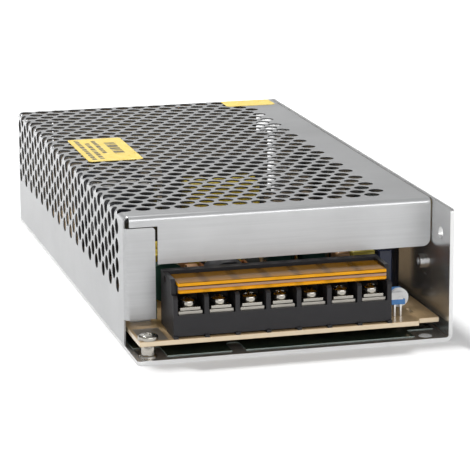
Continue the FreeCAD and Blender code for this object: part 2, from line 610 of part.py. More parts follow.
def terminals():
    """Contact plates, clamp plates and screws, one of each to a cell."""
    contacts = []
    for cell in range(int(number("terminal_count"))):
        middle = cell_middle(cell)
        plate = block((middle + " - contact_width / 2", "contact_front", CELL_FLOOR),
                      ("contact_width", "contact_end - contact_front", "contact_thickness"))
        leg = block((middle + " - leg_width / 2", "contact_end - leg_thickness", BOARD_TOP),
                    ("leg_width", "leg_thickness", "floor_height + contact_thickness"))
        collar = post((middle, "screw_setback", CELL_FLOOR + " - collar_depth"), "collar_radius",
                      "collar_depth", "small_sides")
        thread = post((middle, "screw_setback", CELL_FLOOR + " - collar_depth"),
                      "screw_shank + 2 * thread_clearance", "collar_depth + contact_thickness", "small_sides")
        contacts.append(cut(fuse(plate, leg, collar), thread))
        plate_left = middle + " - clamp_width / 2"
        front = "screw_setback - clamp_depth / 2"
        clamp = block((plate_left, front, CLAMP_FOOT), ("clamp_width", "clamp_depth", "clamp_thickness"))
        hole = post((middle, "screw_setback", CLAMP_FOOT), "screw_shank + 2 * thread_clearance",
                    "clamp_thickness", "small_sides")
        keep(group(cut(clamp, hole)), "clamp_plate_%d" % (cell + 1))
        head_foot = CLAMP_TOP + " + screw_head_gap"
        head = post((middle, "screw_setback", head_foot), "screw_head_radius", "screw_head_height")
        shank = post((middle, "screw_setback", head_foot + " - screw_length"), "screw_shank",
                     "screw_length", "small_sides")
        cross_foot = head_foot + " + screw_head_height - cross_depth"
        bars = []
        for wide, deep in (("cross_length", "cross_width"), ("cross_width", "cross_length")):
            bars.append(block(("%s - %s / 2" % (middle, wide), "screw_setback - %s / 2" % deep, cross_foot),
                              (wide, deep, "cross_depth")))
        keep(group(cut(fuse(head, shank), fuse(*bars))), "terminal_screw_%d" % (cell + 1))
    keep(group(*contacts), "terminal_contacts")


def terminal_cover():
    """The clear lid: a grooved front lip, a top plate and a hinge bar that ends in two pins."""
    left = "(block_left + divider_thickness + lid_end_gap)"
    width = "(terminal_count * terminal_pitch - divider_thickness - 2 * lid_end_gap)"
    low, top = "hinge_height", "(hinge_height + lid_thickness)"
    groove_top = top + " - lid_groove_drop"
    groove_foot = groove_top + " - lid_groove_height"
    lip_foot, lip_rear = top + " - lid_lip_height", "lid_front + lid_thickness"
    section = [("lid_front", lip_foot), (lip_rear, lip_foot),
               (lip_rear, low), ("lid_rear", low), ("lid_rear", top), ("lid_front", top),
               ("lid_front", groove_top), ("lid_front + lid_groove_depth", groove_top),
               ("lid_front + lid_groove_depth", groove_foot), ("lid_front", groove_foot)]
    body = doc.addObject("PartDesign::Body", "terminal_cover")
    pad(body, draw(body, "YZ_Plane", [section], lift=left), width)
    round_edges(body, "lid_edge_round", {"y": "lid_front", "z": top})
    bar = [("hinge_setback", "hinge_height", "hinge_radius")]
    pad(body, draw(body, "YZ_Plane", rings=bar, lift=left + " - hinge_reach"), width + " + 2 * hinge_reach")
    slots = []
    last_slot = left + " + " + width + " - lid_slot_inset - lid_slot_width"
    for slot_left in (left + " + lid_slot_inset", last_slot):
        slots.append(rectangle(slot_left, "lid_slot_front", slot_left + " + lid_slot_width",
                               "lid_slot_front + lid_slot_length"))
    pocket(body, draw(body, "XY_Plane", slots, lift=top))
    return keep(body, "terminal_cover")


def trimmer():
    """Output trimmer: blue body with a fixed shaft, white cap, white thumbwheel and three pins."""
    band = block(("trimmer_left", "trimmer_front", "trimmer_foot"),
                 ("trimmer_width", "trimmer_face", "trimmer_band"))
    rear = block(("trimmer_left", "trimmer_rear", "trimmer_foot"),
                 ("trimmer_width", "trimmer_block_depth", "trimmer_block_height"))
    shaft_length = "trimmer_rear - trimmer_front + trimmer_face"
    shaft = rod(("dial_x", "trimmer_front", "dial_z"), "dial_shaft", shaft_length, "y")
    keep(fuse(band, rear, shaft), "trimmer_body")
    cap = block(("cap_left", "trimmer_front", "trimmer_foot + trimmer_band"),
                ("cap_width", "trimmer_face", "cap_height"))
    shaft_hole = rod(("dial_x", "trimmer_front", "dial_z"), "dial_shaft + dial_clearance",
                     "trimmer_face", "y")
    keep(cut(cap, shaft_hole), "trimmer_cap")
    wheel = post(("dial_x", "dial_front", "dial_z"), "dial_radius", "dial_thickness", "wheel_sides", "y")
    bore = rod(("dial_x", "dial_front", "dial_z"), "dial_shaft + dial_clearance", "dial_thickness", "y")
    keep(cut(wheel, bore), "trimmer_dial")
    pins = []
    for x, y in (("pin_left", "pin_front"), ("pin_right", "pin_front"), ("pin_left", "pin_rear")):
        pins.append(block((x, y, BOARD_TOP), ("pin_size", "pin_size", "trimmer_foot - " + BOARD_TOP)))
    keep(group(*pins), "trimmer_pins")


def on_board(x, y, width, depth, height, lift=0):
    """A block that stands on the board."""
    return block((x, y, "%s + %s" % (BOARD_TOP, lift)), (width, depth, height))


def disc_part(x, y, radius, depth, lift, along="y"):
    """A disc on two leads, its face along the case or across it."""
    centre = "%s + %s + %s" % (BOARD_TOP, lift, radius)
    disc = post((x, y, centre), radius, depth, "round_sides", along)
    leads = []
    for side in ("- lead_spacing / 2", "+ lead_spacing / 2 - lead_size"):
        if along == "y":
            spot = ("%s %s" % (x, side), "%s + %s / 2 - lead_size / 2" % (y, depth))
        else:
            spot = ("%s + %s / 2 - lead_size / 2" % (x, depth), "%s %s" % (y, side))
        leads.append(on_board(spot[0], spot[1], "lead_size", "lead_size", lift + " + lead_grip"))
    return fuse(disc, *leads)


def input_parts():
    """Fuse, varistor, thermistor, filter choke, suppression capacitors and bridge rectifier."""
    fuse_middle = BOARD_TOP + " + fuse_lift + fuse_radius"
    tube = post(("fuse_x", "fuse_y", fuse_middle), "fuse_radius", "fuse_length", "round_sides", "y")
    keep(group(tube), "fuse_tube")
    clips = []
    for start in ("clip_first", "clip_first + clip_spacing"):
        jaw = on_board("fuse_x - fuse_radius - clip_wall", "fuse_y + " + start,
                       "2 * (fuse_radius + clip_wall)", "clip_length", "fuse_lift + clip_rise")
        hollow = post(("fuse_x", "fuse_y + " + start, fuse_middle), "fuse_radius + thread_clearance",
                      "clip_length", "round_sides", "y")
        mouth = block(("fuse_x - clip_mouth / 2", "fuse_y + " + start, fuse_middle),
                      ("clip_mouth", "clip_length", "2 * fuse_radius"))
        clips.append(cut(jaw, fuse(hollow, mouth)))
    keep(group(*clips), "fuse_clips")
    keep(disc_part("varistor_x", "varistor_y", "varistor_radius", "varistor_depth",
                   "varistor_lift"), "varistor")
    keep(disc_part("thermistor_x", "thermistor_y", "thermistor_radius", "thermistor_depth",
                   "thermistor_lift", "x"), "thermistor")
    earths = [disc_part("earth_x", y, "earth_radius", "earth_depth", "earth_lift", "x")
              for y in ("earth_y", "earth_y + earth_spacing")]
    keep(group(*earths), "earth_capacitors")
    boxes = [on_board("x_cap_x", y, "x_cap_width", "x_cap_depth", "x_cap_height")
             for y in ("x_cap_y", "x_cap_y + x_cap_spacing")]
    keep(group(*boxes), "suppression_capacitors")
    package = on_board("bridge_x", "bridge_y", "bridge_width", "bridge_depth", "bridge_height", "bridge_lift")
    legs = [on_board("bridge_x + bridge_width / 2 + bridge_pitch * %s" % step, "bridge_y + bridge_depth / 2",
                     "leg_size", "leg_size", "bridge_lift") for step in (-1.5, -0.5, 0.5, 1.5)]
    keep(fuse(package, *legs), "bridge_rectifier")


def toroid(word, core_label, coil_label):
    """A ring core that stands on its edge, with a wire layer on its left and right halves."""
    x, y, radius, hole, depth = ["%s_%s" % (word, part) for part in ("x", "y", "radius", "hole", "depth")]
    centre = "%s + core_seat + %s - coil_wire" % (BOARD_TOP, radius)
    core = cut(post((x, y, centre), radius + " - coil_wire", depth, "round_sides", "y"),
               post((x, y, centre), hole + " + coil_wire", depth, "round_sides", "y"))
    outer = post((x, "%s - coil_wire" % y, centre), radius, depth + " + 2 * coil_wire", "round_sides", "y")
    inner = post((x, "%s - coil_wire" % y, centre), hole, depth + " + 2 * coil_wire", "round_sides", "y")
    room_front, room_depth = y + " - wire_gap", depth + " + 2 * wire_gap"
    room_spot, room_radius = (x, room_front, centre), radius + " - coil_wire + wire_gap"
    room = cut(post(room_spot, room_radius, room_depth, "round_sides", "y"),
               post(room_spot, hole + " + coil_wire - wire_gap", room_depth, "round_sides", "y"))
    band = block((x + " - 2 * " + radius, y + " - 2 * coil_wire", centre + " - wire_foot_share * " + radius),
                 ("4 * " + radius, depth + " + 4 * coil_wire", "wire_height_share * " + radius))
    middle = block((x + " - coil_wire", y + " - 2 * coil_wire", centre + " - " + radius),
                   ("2 * coil_wire", depth + " + 4 * coil_wire", "2 * " + radius))
    layer = cut(cut(common(outer, band), inner), room, middle)
    keep(core, core_label)
    keep(group(layer), coil_label)


def wound_core(word, core_label, coil_label, lift):
    """A ferrite frame round a wound bobbin that stands on the board."""
    x, y, width, depth, height, leg, thick = [
        "%s_%s" % (word, part) for part in ("x", "y", "width", "depth", "height", "leg", "thickness")]
    foot = "%s + %s" % (BOARD_TOP, lift)
    inset = "(%s - %s) / 2" % (depth, thick)
    front = "%s + %s" % (y, inset)
    middle_left = "%s + (%s - %s) / 2" % (x, width, leg)
    frame = block((x, front, foot), (width, thick, height))
    window_left, window_width = "%s + %s / 2" % (x, leg), "%s - %s" % (width, leg)
    window_foot, window_height = "%s + %s / 2" % (foot, leg), "%s - %s" % (height, leg)
    window = block((window_left, front, window_foot), (window_width, thick, window_height))
    bar = block((middle_left, front, window_foot), (leg, thick, window_height))
    keep(group(fuse(cut(frame, window), bar)), core_label)
    coil_left, coil_width = window_left + " + coil_gap", window_width + " - 2 * coil_gap"
    coil = block((coil_left, y, window_foot + " + coil_gap"),
                 (coil_width, depth, window_height + " - 2 * coil_gap"))
    bore = block((middle_left + " - coil_gap", front + " - coil_gap", window_foot),
                 (leg + " + 2 * coil_gap", thick + " + 2 * coil_gap", window_height))
    wound = cut(coil, bore)
    feet = []
    for foot_y in (y, "%s + %s - bobbin_foot" % (y, depth)):
        feet.append(on_board(coil_left, foot_y, coil_width, "bobbin_foot",
                             "%s + %s / 2 + coil_gap" % (lift, leg)))
    keep(group(fuse(wound, *feet)), coil_label)


def round_capacitor(x, y, radius, height):
    return post((x, y, BOARD_TOP), radius, height)


def board_parts():
    """What stands on the board behind the input parts."""
    bulk = [round_capacitor("bulk_x", y, "bulk_radius", "bulk_height")
            for y in ("bulk_y", "bulk_y + bulk_spacing")]
    keep(group(*bulk), "bulk_capacitors")
    toroid("choke", "filter_choke_core", "filter_choke_winding")
    toroid("output_choke", "output_choke_core", "output_choke_winding")
    wound_core("core", "transformer_core", "transformer_winding", "core_lift")
    wound_core("drive", "drive_core", "drive_winding", 0)
    cans = [round_capacitor(x, "output_cap_y", "output_cap_radius", "output_cap_height")
            for x in ("output_cap_first", "output_cap_first + output_cap_spacing")]
    cans += [round_capacitor("output_cap_rear_x + output_cap_rear_spacing * %d" % step, "output_cap_rear_y",
                             "output_cap_radius", "output_cap_height") for step in range(2)]
    keep(group(*cans), "output_capacitors")
    side_x = INNER_WALL + " - side_cap_gap - side_cap_radius"
    keep(group(round_capacitor(side_x, "side_cap_y", "side_cap_radius", "side_cap_height")), "side_capacitor")
    for label, left, width in (("tan_capacitor", "0", "tan_width"),
                               ("yellow_capacitor", "yellow_left", "yellow_width"),
                               ("blue_capacitor", "blue_left", "blue_width")):
        box = on_board("film_cap_x + " + left, "film_cap_y", width, "film_cap_depth", "film_cap_height")
        keep(group(box), label)
    free_length = "(%s - core_y - core_depth - chip_length)" % BOARD_REAR
    chip_front = "core_y + core_depth + chip_share * " + free_length
    chip = on_board("chip_x", chip_front, "chip_width", "chip_length", "chip_height", "chip_lift")
    rows = [on_board(x, chip_front, "leg_size", "chip_length", "chip_lift + chip_height / 2")
            for x in ("chip_x - leg_size", "chip_x + chip_width")]
    keep(fuse(chip, *rows), "control_chip")


def axial(x, y, radius, length, lift):
    """A resistor that lies along the case on two bent leads."""
    middle = "%s + %s + %s" % (BOARD_TOP, lift, radius)
    body = post((x, y, middle), radius, length, "small_sides", "y")
    ends = [on_board(x + " - lead_size / 2", start, "lead_size", "lead_size", "%s + %s" % (lift, radius))
            for start in (y, "%s + %s - lead_size" % (y, length))]
    return fuse(body, *ends)


def small_parts():
    large = [axial("resistor_x + resistor_spacing * %d" % step, "resistor_y", "resistor_radius",
                   "resistor_length", "resistor_lift") for step in range(3)]
    keep(group(*large), "power_resistors")
    small = [axial("small_x + small_spacing * %d" % step, "small_y", "small_radius", "small_length",
                   "resistor_lift") for step in range(4)]
    keep(group(*small), "small_resistors")
    cans = [post(("small_cap_x + small_cap_spacing * %d" % step, "small_cap_y", BOARD_TOP),
                 "small_cap_radius", "small_cap_height", "small_sides") for step in range(3)]
    keep(group(*cans), "small_capacitors")


def wall_devices():
    """Two pairs of power devices, each pressed on the right wall by a bar and one screw."""
    pads, bars, screws = [], [], []
    for first, label in (("rectifier_y", "output_rectifiers"), ("transistor_y", "switch_transistors")):
        devices = []
        face = INNER_WALL + " - pad_thickness - device_depth"
        for start in (first, first + " + device_width + device_gap"):
            package = on_board(face, start, "device_depth", "device_width", "device_height", "device_lift")
            first_leg = start + " + device_width / 2 - leg_size / 2 - leg_pitch"
            legs = [on_board(face + " + device_depth / 2", "%s + leg_pitch * %d" % (first_leg, step),
                             "leg_size", "leg_size", "device_lift") for step in range(3)]
            devices.append(fuse(package, *legs))
        keep(group(*devices), label)
        middle = pair_middle(first)
        span = "2 * device_width + device_gap"
        hole = post((face + " - bar_thickness", middle, BAR_MIDDLE), "flush_shank + thread_room",
                    "device_depth + bar_thickness + pad_thickness", "small_sides", "x")
        sheet_pad = on_board(INNER_WALL + " - pad_thickness", first + " - pad_margin", "pad_thickness",
                             span + " + 2 * pad_margin", "device_height + 2 * pad_margin",
                             "device_lift - pad_margin")
        pads.append(cut(sheet_pad, hole))
        bar = on_board(face + " - bar_thickness", first + " + bar_margin", "bar_thickness",
                       span + " - 2 * bar_margin", "bar_height", "bar_lift")
        bars.append(cut(bar, hole))
        length = "wall_thickness + pad_thickness + device_depth + bar_thickness"
        screws.append(flush_screw(middle, BAR_MIDDLE, length))
    keep(group(*pads), "insulating_pads")
    keep(group(*bars), "clamp_bars")
    keep(group(*screws), "clamp_screws")
    keep(group(*[flush_screw(y, z, "cover_screw_length") for y, z in COVER_SCREWS]), "cover_screws")


def flush_screw(y, z, length):
    """A screw whose conical head lies flush in the outer face of the right wall."""
    shank = post(("case_width - (%s)" % length, y, z), "flush_shank", length, "small_sides", "x")
    head = cone(("case_width - flush_head_depth", y, z), "flush_shank", "flush_shank + flush_head_depth",
                "flush_head_depth", "x")
    return fuse(shank, head)


def check(thing):
    """Stop on anything that failed to build."""
    if {"Invalid", "Error"} & set(thing.State):
        raise RuntimeError("%s (%s) did not build: %s" % (thing.Name, thing.Label, thing.State))


def main():
    chassis()
    sheet_body = cover_sheet()
    stickers()
    insulating_film()
    circuit_board()
    terminal_block()
    terminal_cover()
    doc.recompute()
    keep(cut(sheet_body, perforation()), "mesh_cover")
    board_fixings()
    terminals()
    trimmer()
    input_parts()
    board_parts()
    small_parts()
    wall_devices()
    doc.removeObject(sums.Name)
    doc.recompute()
    for thing in doc.Objects:
        check(thing)
    for piece in finished:
        if piece.Shape.isNull() or not piece.Shape.isValid():
            raise RuntimeError("%s has a bad shape" % piece.Label)
    os.makedirs("parts", exist_ok=True)
    for piece in finished:
        piece.Shape.exportStep("parts/%s.step" % piece.Label)


main()
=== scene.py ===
"""Looks of a mesh case power supply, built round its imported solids."""

import math

import bmesh
import bpy
from bpy.props import FloatProperty, FloatVectorProperty, IntProperty, PointerProperty
from mathutils import Matrix, Vector, geometry


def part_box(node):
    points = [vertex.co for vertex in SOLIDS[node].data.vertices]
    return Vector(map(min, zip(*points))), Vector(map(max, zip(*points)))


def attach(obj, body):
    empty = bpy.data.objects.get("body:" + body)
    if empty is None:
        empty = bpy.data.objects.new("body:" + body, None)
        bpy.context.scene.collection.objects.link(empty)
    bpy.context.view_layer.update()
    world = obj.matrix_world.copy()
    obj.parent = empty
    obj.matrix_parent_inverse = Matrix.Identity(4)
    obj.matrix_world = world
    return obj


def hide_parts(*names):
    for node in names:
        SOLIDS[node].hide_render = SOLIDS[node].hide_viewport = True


bl_info = {
    "name": "Mesh case power supply",
    "version": (1, 0, 0),
    "blender": (4, 5, 0),
    "location": "3D View > Sidebar > Power supply",
    "description": "Dresses the packed solids of a mesh case power supply",
    "category": "Object",
}

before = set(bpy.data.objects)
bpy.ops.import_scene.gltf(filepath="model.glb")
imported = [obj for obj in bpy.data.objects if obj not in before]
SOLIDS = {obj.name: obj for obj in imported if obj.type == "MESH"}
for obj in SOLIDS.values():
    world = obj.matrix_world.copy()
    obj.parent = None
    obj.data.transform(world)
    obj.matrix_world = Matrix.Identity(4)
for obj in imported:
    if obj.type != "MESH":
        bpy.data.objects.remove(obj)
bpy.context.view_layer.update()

MM = 0.001
# Sizes are in millimetres, and places are from the case's front left bottom corner, as in the solids' source.
CORNER = Vector((49, 99.5, 0))
CASE_HEIGHT = 41
CASE_REAR = 199
BASE_TOP = 1.2
BOARD_TOP = 6.4
STANDOFF_HEIGHT = 3.6
STANDOFFS = ((4.4, 5.4), (91.6, 31), (4.4, 191), (91.6, 191))

# The cover: where its folded parts end, as heights, places across the case and reaches from a fold. The last four
# help to cut the flat sheet: how far creases run past it, how near a point is to a rim, and the grid of the search.
LIP_FACE = 17
COVER_RIGHT = 96.5
WALL_GAP = 0.1
RELIEF = 0.9
STRIP_FOOT = 37.7
LIP_START = 8.7
LIP_FOOT = 26
LIP_ROUND = 2.3
FLANGE_FOOT = 9.2
FLANGE_TOP = 37.4
FLANGE_ROUND = 1
FLANGE_REACH = 9.6
REAR_FLANGE_REACH = 12.8
PANEL_LEFT = 13.2
PANEL_RIGHT = 95.4
NOTCH_TOP = 35
NOTCH_FOOT = 28.5
NOTCH_DEPTH = 4.4
SIDE_HOLES = 4
PAST_SHEET = 60
PAST_RIGHT = 140
RIM_REACH = 0.12
CELL = 6

# The terminals, their lid and the trimmer
CELLS = 7
FIRST_CELL = 17.15
CELL_PITCH = 9.5
SCREW_Y = 8
SCREW_SEAT = 15.55
LID_TOP = 23.2
LID_WALL = 1
LID_GROOVE = 1.0
LID_BEAD = 1.32
LID_FOOT = 2.15
PIN_Y = 14
PIN_RADIUS = 1
PIN_REACH = 1.3
PIN_EASE = 0.15
TRIMMER_BAND = 11.8
TRIMMER_BACK = 11.9
TRIMMER_WHITE = (0.72, 0.72, 0.72)

# Left, width, front and rear of each row of dashes, then the stickers with their front left and rear right corners
DASH_ROWS = ((8.6, 1.5, 103, 137), (11.4, 1.5, 104, 132), (14.2, 1.5, 113, 135), (18.0, 3.6, 112, 131))
STICKERS = (("label_front", "front_sticker", (6.8, 100.4), (25.3, 138.9)),
            ("label_rear", "rear_sticker", (76.5, 186), (95, 196.5)))
STICKER_ROUND = 1.3

# Edges that are sharper than this, in degrees, are rounded, and corners nearer than this, in metres, are one
BEVEL_FROM = 32
SAME_PLACE = 2e-6

# The stage, in metres, degrees and watts: the camera is the one fitted to the photograph
LAMPS = (("key", (-0.14, 0.5, 1.0), (0.16, 0.16), 10.5),
         ("front", (0.2, -0.95, 0.5), (0.9, 0.3), 3.4),
         ("left", (-0.9, 0.1, 0.3), (0.7, 0.4), 0.5))
LAMP_TARGET = (0, 0, 0.02)
WORLD_FRONT = 0.58
WORLD_REAR = 0.21
FLOOR_GLOW = 0.8
GLOW_FROM = 0.15
GLOW_TO = 0.5
FLOOR_RINGS = ((5.5, 0), (5.75, 0.06), (5.93, 0.2), (6, 0.4), (6, 0.95))
FLOOR_TURNS = 96
CAMERA_TURN = -14.87
CAMERA_LIFT = 13.34
CAMERA_ROLL = -0.32
CAMERA_DISTANCE = 0.7786
CAMERA_LENS = 184.33
CAMERA_TARGET = (-0.00122, -0.03166, 0.021)


def at(x, y, z):
    """A place on the case, in metres in the scene's frame."""
    return (Vector((x, y, z)) - CORNER) * MM


# Shader maths


class Wire:
    """An output socket that takes part in sums: each sum adds a Math node."""

    def __init__(self, paint, socket):
        self.paint = paint
        self.socket = socket

    def __add__(self, other):
        return self.paint.maths("ADD", self, other)

    __radd__ = __add__

    def __sub__(self, other):
        return self.paint.maths("SUBTRACT", self, other)

    def __rsub__(self, other):
        return self.paint.maths("SUBTRACT", other, self)

    def __mul__(self, other):
        return self.paint.maths("MULTIPLY", self, other)

    __rmul__ = __mul__

    def __gt__(self, other):
        return self.paint.maths("GREATER_THAN", self, other)

    def __lt__(self, other):
        return self.paint.maths("LESS_THAN", self, other)


class Nodes:
    """The node tree of a material or of the world, and the one way that its nodes are made."""

    def __init__(self, owner):
        owner.use_nodes = True
        self.tree = owner.node_tree

    def node(self, kind, settings=None, sockets=None, out=0):
        """Any node: its settings are made first, then its sockets get their values or links."""
        made = self.tree.nodes.new(kind)
        for word, value in (settings or {}).items():
            if word == "stops":
                ramp = made.color_ramp.elements
                while len(ramp) < len(value):
                    ramp.new(1)
                for stop, (place, colour) in zip(ramp, value):
                    stop.position = place
                    stop.color = (*colour, 1)
            else:
                setattr(made, word, value)
        for key, value in (sockets or {}).items():
            self.feed(made.inputs[key], value)
        return Wire(self, made.outputs[out])

    def feed(self, socket, value):
        if isinstance(value, Wire):
            self.tree.links.new(value.socket, socket)
        elif socket.type == "RGBA":
            socket.default_value = (*tuple(value)[:3], 1)
        else:
            socket.default_value = value

    def maths(self, operation, *values):
        return self.node("ShaderNodeMath", {"operation": operation}, dict(enumerate(values)))

    def part(self, vector, axis):
        return self.node("ShaderNodeSeparateXYZ", {}, {0: vector}, out=axis)

    def background_rays(self):
        """One for the rays that see the white background: camera, glossy and transmission rays."""
        camera, glossy, clear = (self.node("ShaderNodeLightPath", out="Is %s Ray" % kind)
                                 for kind in ("Camera", "Glossy", "Transmission"))
        return self.maths("MINIMUM", camera + glossy + clear, 1.0)

    def blended(self, first, second, factor):
        return self.node("ShaderNodeMixShader", {}, {0: factor, 1: first, 2: second})


class Paint(Nodes):
    """A material with its node tree and its main shader."""

    def __init__(self, name, fixed=None):
        self.material = bpy.data.materials.new(name)
        super().__init__(self.material)
        self.shader = self.tree.nodes["Principled BSDF"]
        self.where = self.node("ShaderNodeTexCoord", out="Object")
        for word, value in (fixed or {}).items():
            self.shader.inputs[word].default_value = value

    def stretched(self, x=1, y=1, z=1):
        return self.node("ShaderNodeVectorMath", {"operation": "MULTIPLY"}, {0: self.where, 1: (x, y, z)})

    def place(self, axis):
        """The place on the object along an axis, in metres."""
        return self.part(self.where, axis)

    def cut_edge(self):
        """One on the walls of a flat sheet, nought on its faces."""
        way = self.node("ShaderNodeNewGeometry", out="Normal")
        return self.maths("ABSOLUTE", self.part(way, "Z")) < 0.5

    def noise(self, scale, detail=3, rough=0.55, vector=None):
        return self.node("ShaderNodeTexNoise", {},
                         {"Vector": vector or self.where, "Scale": scale, "Detail": detail, "Roughness": rough})

    def ramp(self, factor, low, high):
        """A colour that goes from low to high over the middle of a noise."""
        return self.node("ShaderNodeValToRGB", {"stops": [(0.3, low), (0.7, high)]}, {0: factor})

    def tones(self, factor, colour, low, high):
        """A ramp between a darker and a lighter shade of a colour."""
        return self.ramp(factor, shade(colour, low), shade(colour, high))

    def mix(self, first, second, factor):
        return self.node("ShaderNodeMix", {"data_type": "RGBA"}, {0: factor, 6: first, 7: second}, out=2)

    def apart(self, place, middle, pitch):
        """How far a place is from the nearest of a row of middles, which lie a pitch apart."""
        return self.maths("PINGPONG", place - middle, pitch / 2 * MM)

    def smooth_step(self, factor, start, end, low, high):
        """A number that goes softly from low to high while the factor goes from start to end."""
        return self.node("ShaderNodeMapRange", {"interpolation_type": "SMOOTHSTEP"},
                         {0: factor, 1: start, 2: end, 3: low, 4: high})

    def colour(self, value):
        self.feed(self.shader.inputs["Base Color"], value)

    def roughness(self, factor, low, high):
        """Roughness that follows a factor from low at 0 to high at 1."""
        self.feed(self.shader.inputs["Roughness"], factor * (high - low) + low)

    def bump(self, height, depth, strength):
        made = self.node("ShaderNodeBump", {}, {"Height": height, "Distance": depth, "Strength": strength})
        self.feed(self.shader.inputs["Normal"], made)


def shade(colour, factor):
    """A colour made darker or lighter."""
    return tuple(min(1, part * factor) for part in colour)


def rolled_metal(name, colour, rough, grain_depth=0.00002, metallic=1.0):
    """Sheet or plated metal: a faint cloud in its colour, and a fine grain."""
    paint = Paint(name, {"Metallic": metallic})
    paint.colour(paint.tones(paint.noise(90, 4), colour, 0.92, 1.08))
    grain = paint.noise(900, 3, 0.6)
    paint.roughness(grain, rough * 0.75, rough * 1.3)
    paint.bump(grain, grain_depth, 0.5)
    return paint.material


def chassis_sheet(colour):
    """Bright rolled sheet with a long grain, and a painted highlight on its front cut edges."""
    paint = Paint("rolled sheet")
    # Painted highlight: the front cut edges are pale grey and hardly metallic, so that they look lit.
    edge_highlight = band(paint.place("Y"), -1, 0.12, 1)
    tone = paint.tones(paint.noise(90, 4), colour, 0.9, 1.1)
    paint.colour(paint.mix(tone, (0.82, 0.82, 0.82), edge_highlight))
    paint.feed(paint.shader.inputs["Metallic"], 0.9 - edge_highlight * 0.75)
    lines = paint.noise(900, 3, 0.6, paint.stretched(1, 0.03, 1))
    paint.roughness(lines, 0.18, 0.31)
    paint.bump(lines, 0.000004, 0.5)
    return paint.material


def moulded(name, colour, rough=0.4, grain=2500, fixed=None):
    """Moulded, dipped or wound plastic with a fine grain."""
    paint = Paint(name, fixed)
    paint.colour(paint.tones(paint.noise(160, 3), colour, 0.92, 1.08))
    fine = paint.noise(grain, 2)
    paint.roughness(fine, rough * 0.8, rough * 1.2)
    paint.bump(fine, 0.00003, 0.6)
    return paint.material


def galvanised_sheet(colour):
    """The cover's sheet: dull zinc, finely brushed across the case, with soft clouds."""
    paint = Paint("zinc sheet", {"Metallic": 0.7})
    cloud = paint.noise(45, 4)
    brushed = paint.noise(1400, 4, 0.6, paint.stretched(0.025, 1, 1))
    paint.colour(paint.tones(cloud * 0.5 + brushed * 0.5, colour, 0.88, 1.1))
    paint.roughness(brushed, 0.26, 0.42)
    paint.bump(brushed, 0.000012, 0.5)
    return paint.material


def insulating_sheet(colour):
    """Dark green film, glossy, with a pale cut edge."""
    paint = Paint("insulating film", {"IOR": 1.5, "Alpha": 0.9, "Coat Weight": 0.6, "Coat Roughness": 0.06})
    broad = paint.noise(60, 3)
    tone = paint.tones(broad, colour, 0.8, 1.2)
    paint.colour(paint.mix(tone, (0.42, 0.50, 0.46), paint.cut_edge()))
    paint.roughness(broad, 0.06, 0.14)
    paint.bump(broad, 0.0001, 0.3)
    return paint.material


def board_laminate(colour):
    """Phenolic paper board: fibres, a pale cut edge, a painted dim reflection of the flange at its left front corner,
    and a thin varnish.
    """
    paint = Paint("board laminate", {"Coat Weight": 0.5, "Coat Roughness": 0.12})
    fibres = paint.noise(700, 5, 0.65, paint.stretched(1, 0.25, 3))
    flecks = paint.noise(2400, 2)
    top = paint.tones(fibres * 0.7 + flecks * 0.3, colour, 0.82, 1.15)
    x, y, z = (paint.place(axis) for axis in "XYZ")
    # pad is a painted dim reflection of the flange above: a dark grey patch on the board's top at its left front
    # corner.
    pad = band(x, 2.1, 10.2, 0) * band(y, 3.5, 17, 1) * band(z, BOARD_TOP - 0.2, CASE_HEIGHT, 2)
    top = paint.mix(top, (0.24, 0.21, 0.18), pad)
    paint.colour(paint.mix(top, (0.82, 0.68, 0.48), paint.cut_edge() * 0.9))
    paint.roughness(flecks, 0.25, 0.42)
    paint.bump(fibres, 0.00003, 0.5)
    return paint.material


def amber_plastic(colour):
    """Clear amber lid: darker on top where the ribs show through, a lit rim, painted shade in the groove and a painted
    sky reflection on the bead.
    """
    paint = Paint("amber lid", {"Transmission Weight": 0.15, "IOR": 1.4, "Specular IOR Level": 0.06})
    x, z = paint.place("X"), paint.place("Z")
    broad = paint.noise(260, 3, 0.6, paint.stretched(0.6, 1, 1))
    rib = paint.apart(x, at(FIRST_CELL, 0, 0).x, CELL_PITCH)
    under = paint.smooth_step(rib, 2.6 * MM, 4.4 * MM, 0.0, 1.0)
    clear = paint.tones(broad, colour, 0.86, 1.06)
    top = paint.mix(shade(colour, 0.28), shade(colour, 0.12), under * 0.7 + broad * 0.3)
    foot, bead, groove = LID_TOP - LID_FOOT, LID_TOP - LID_BEAD, LID_TOP - LID_GROOVE
    tone = paint.mix(clear, shade(colour, 0.55), under * band(z, 0, foot, 2) * 0.6)
    tone = paint.mix(tone, top, band(z, LID_TOP - 0.16, CASE_HEIGHT, 2))
    # Painted shade: a dark band in the groove.
    tone = paint.mix(tone, shade(colour, 0.12), band(z, bead, groove, 2))
    # Painted reflection of the sky: a pale grey pink band on the bead.
    tone = paint.mix(tone, (0.40, 0.30, 0.27), band(z, foot, bead, 2) * 0.8)
    paint.colour(tone)
    paint.roughness(broad, 0.1, 0.18)
    return paint.material


def sticker_vinyl(colour, ink, sheet):
    """A plain sticker: rows of dashes, one of them broad, and dimples over the holes below."""
    paint = Paint("sticker", {"Coat Weight": 0.2, "Coat Roughness": 0.3})
    x, y = paint.place("X"), paint.place("Y")
    broad = paint.noise(120, 3)
    base = paint.tones(broad, colour, 0.93, 1.04)
    dashes = paint.noise(850, 0, 0.5, paint.stretched(0, 1, 0)) > 0.43
    inked = sum(band(x, left, left + width, 0) * band(y, front, rear, 1) for left, width, front, rear in DASH_ROWS)
    paint.colour(paint.mix(base, ink, inked * dashes * 0.92))
    paint.roughness(broad, 0.35, 0.5)
    paint.bump(dimples(paint, x, y, sheet), 0.0003, 0.8)
    return paint.material


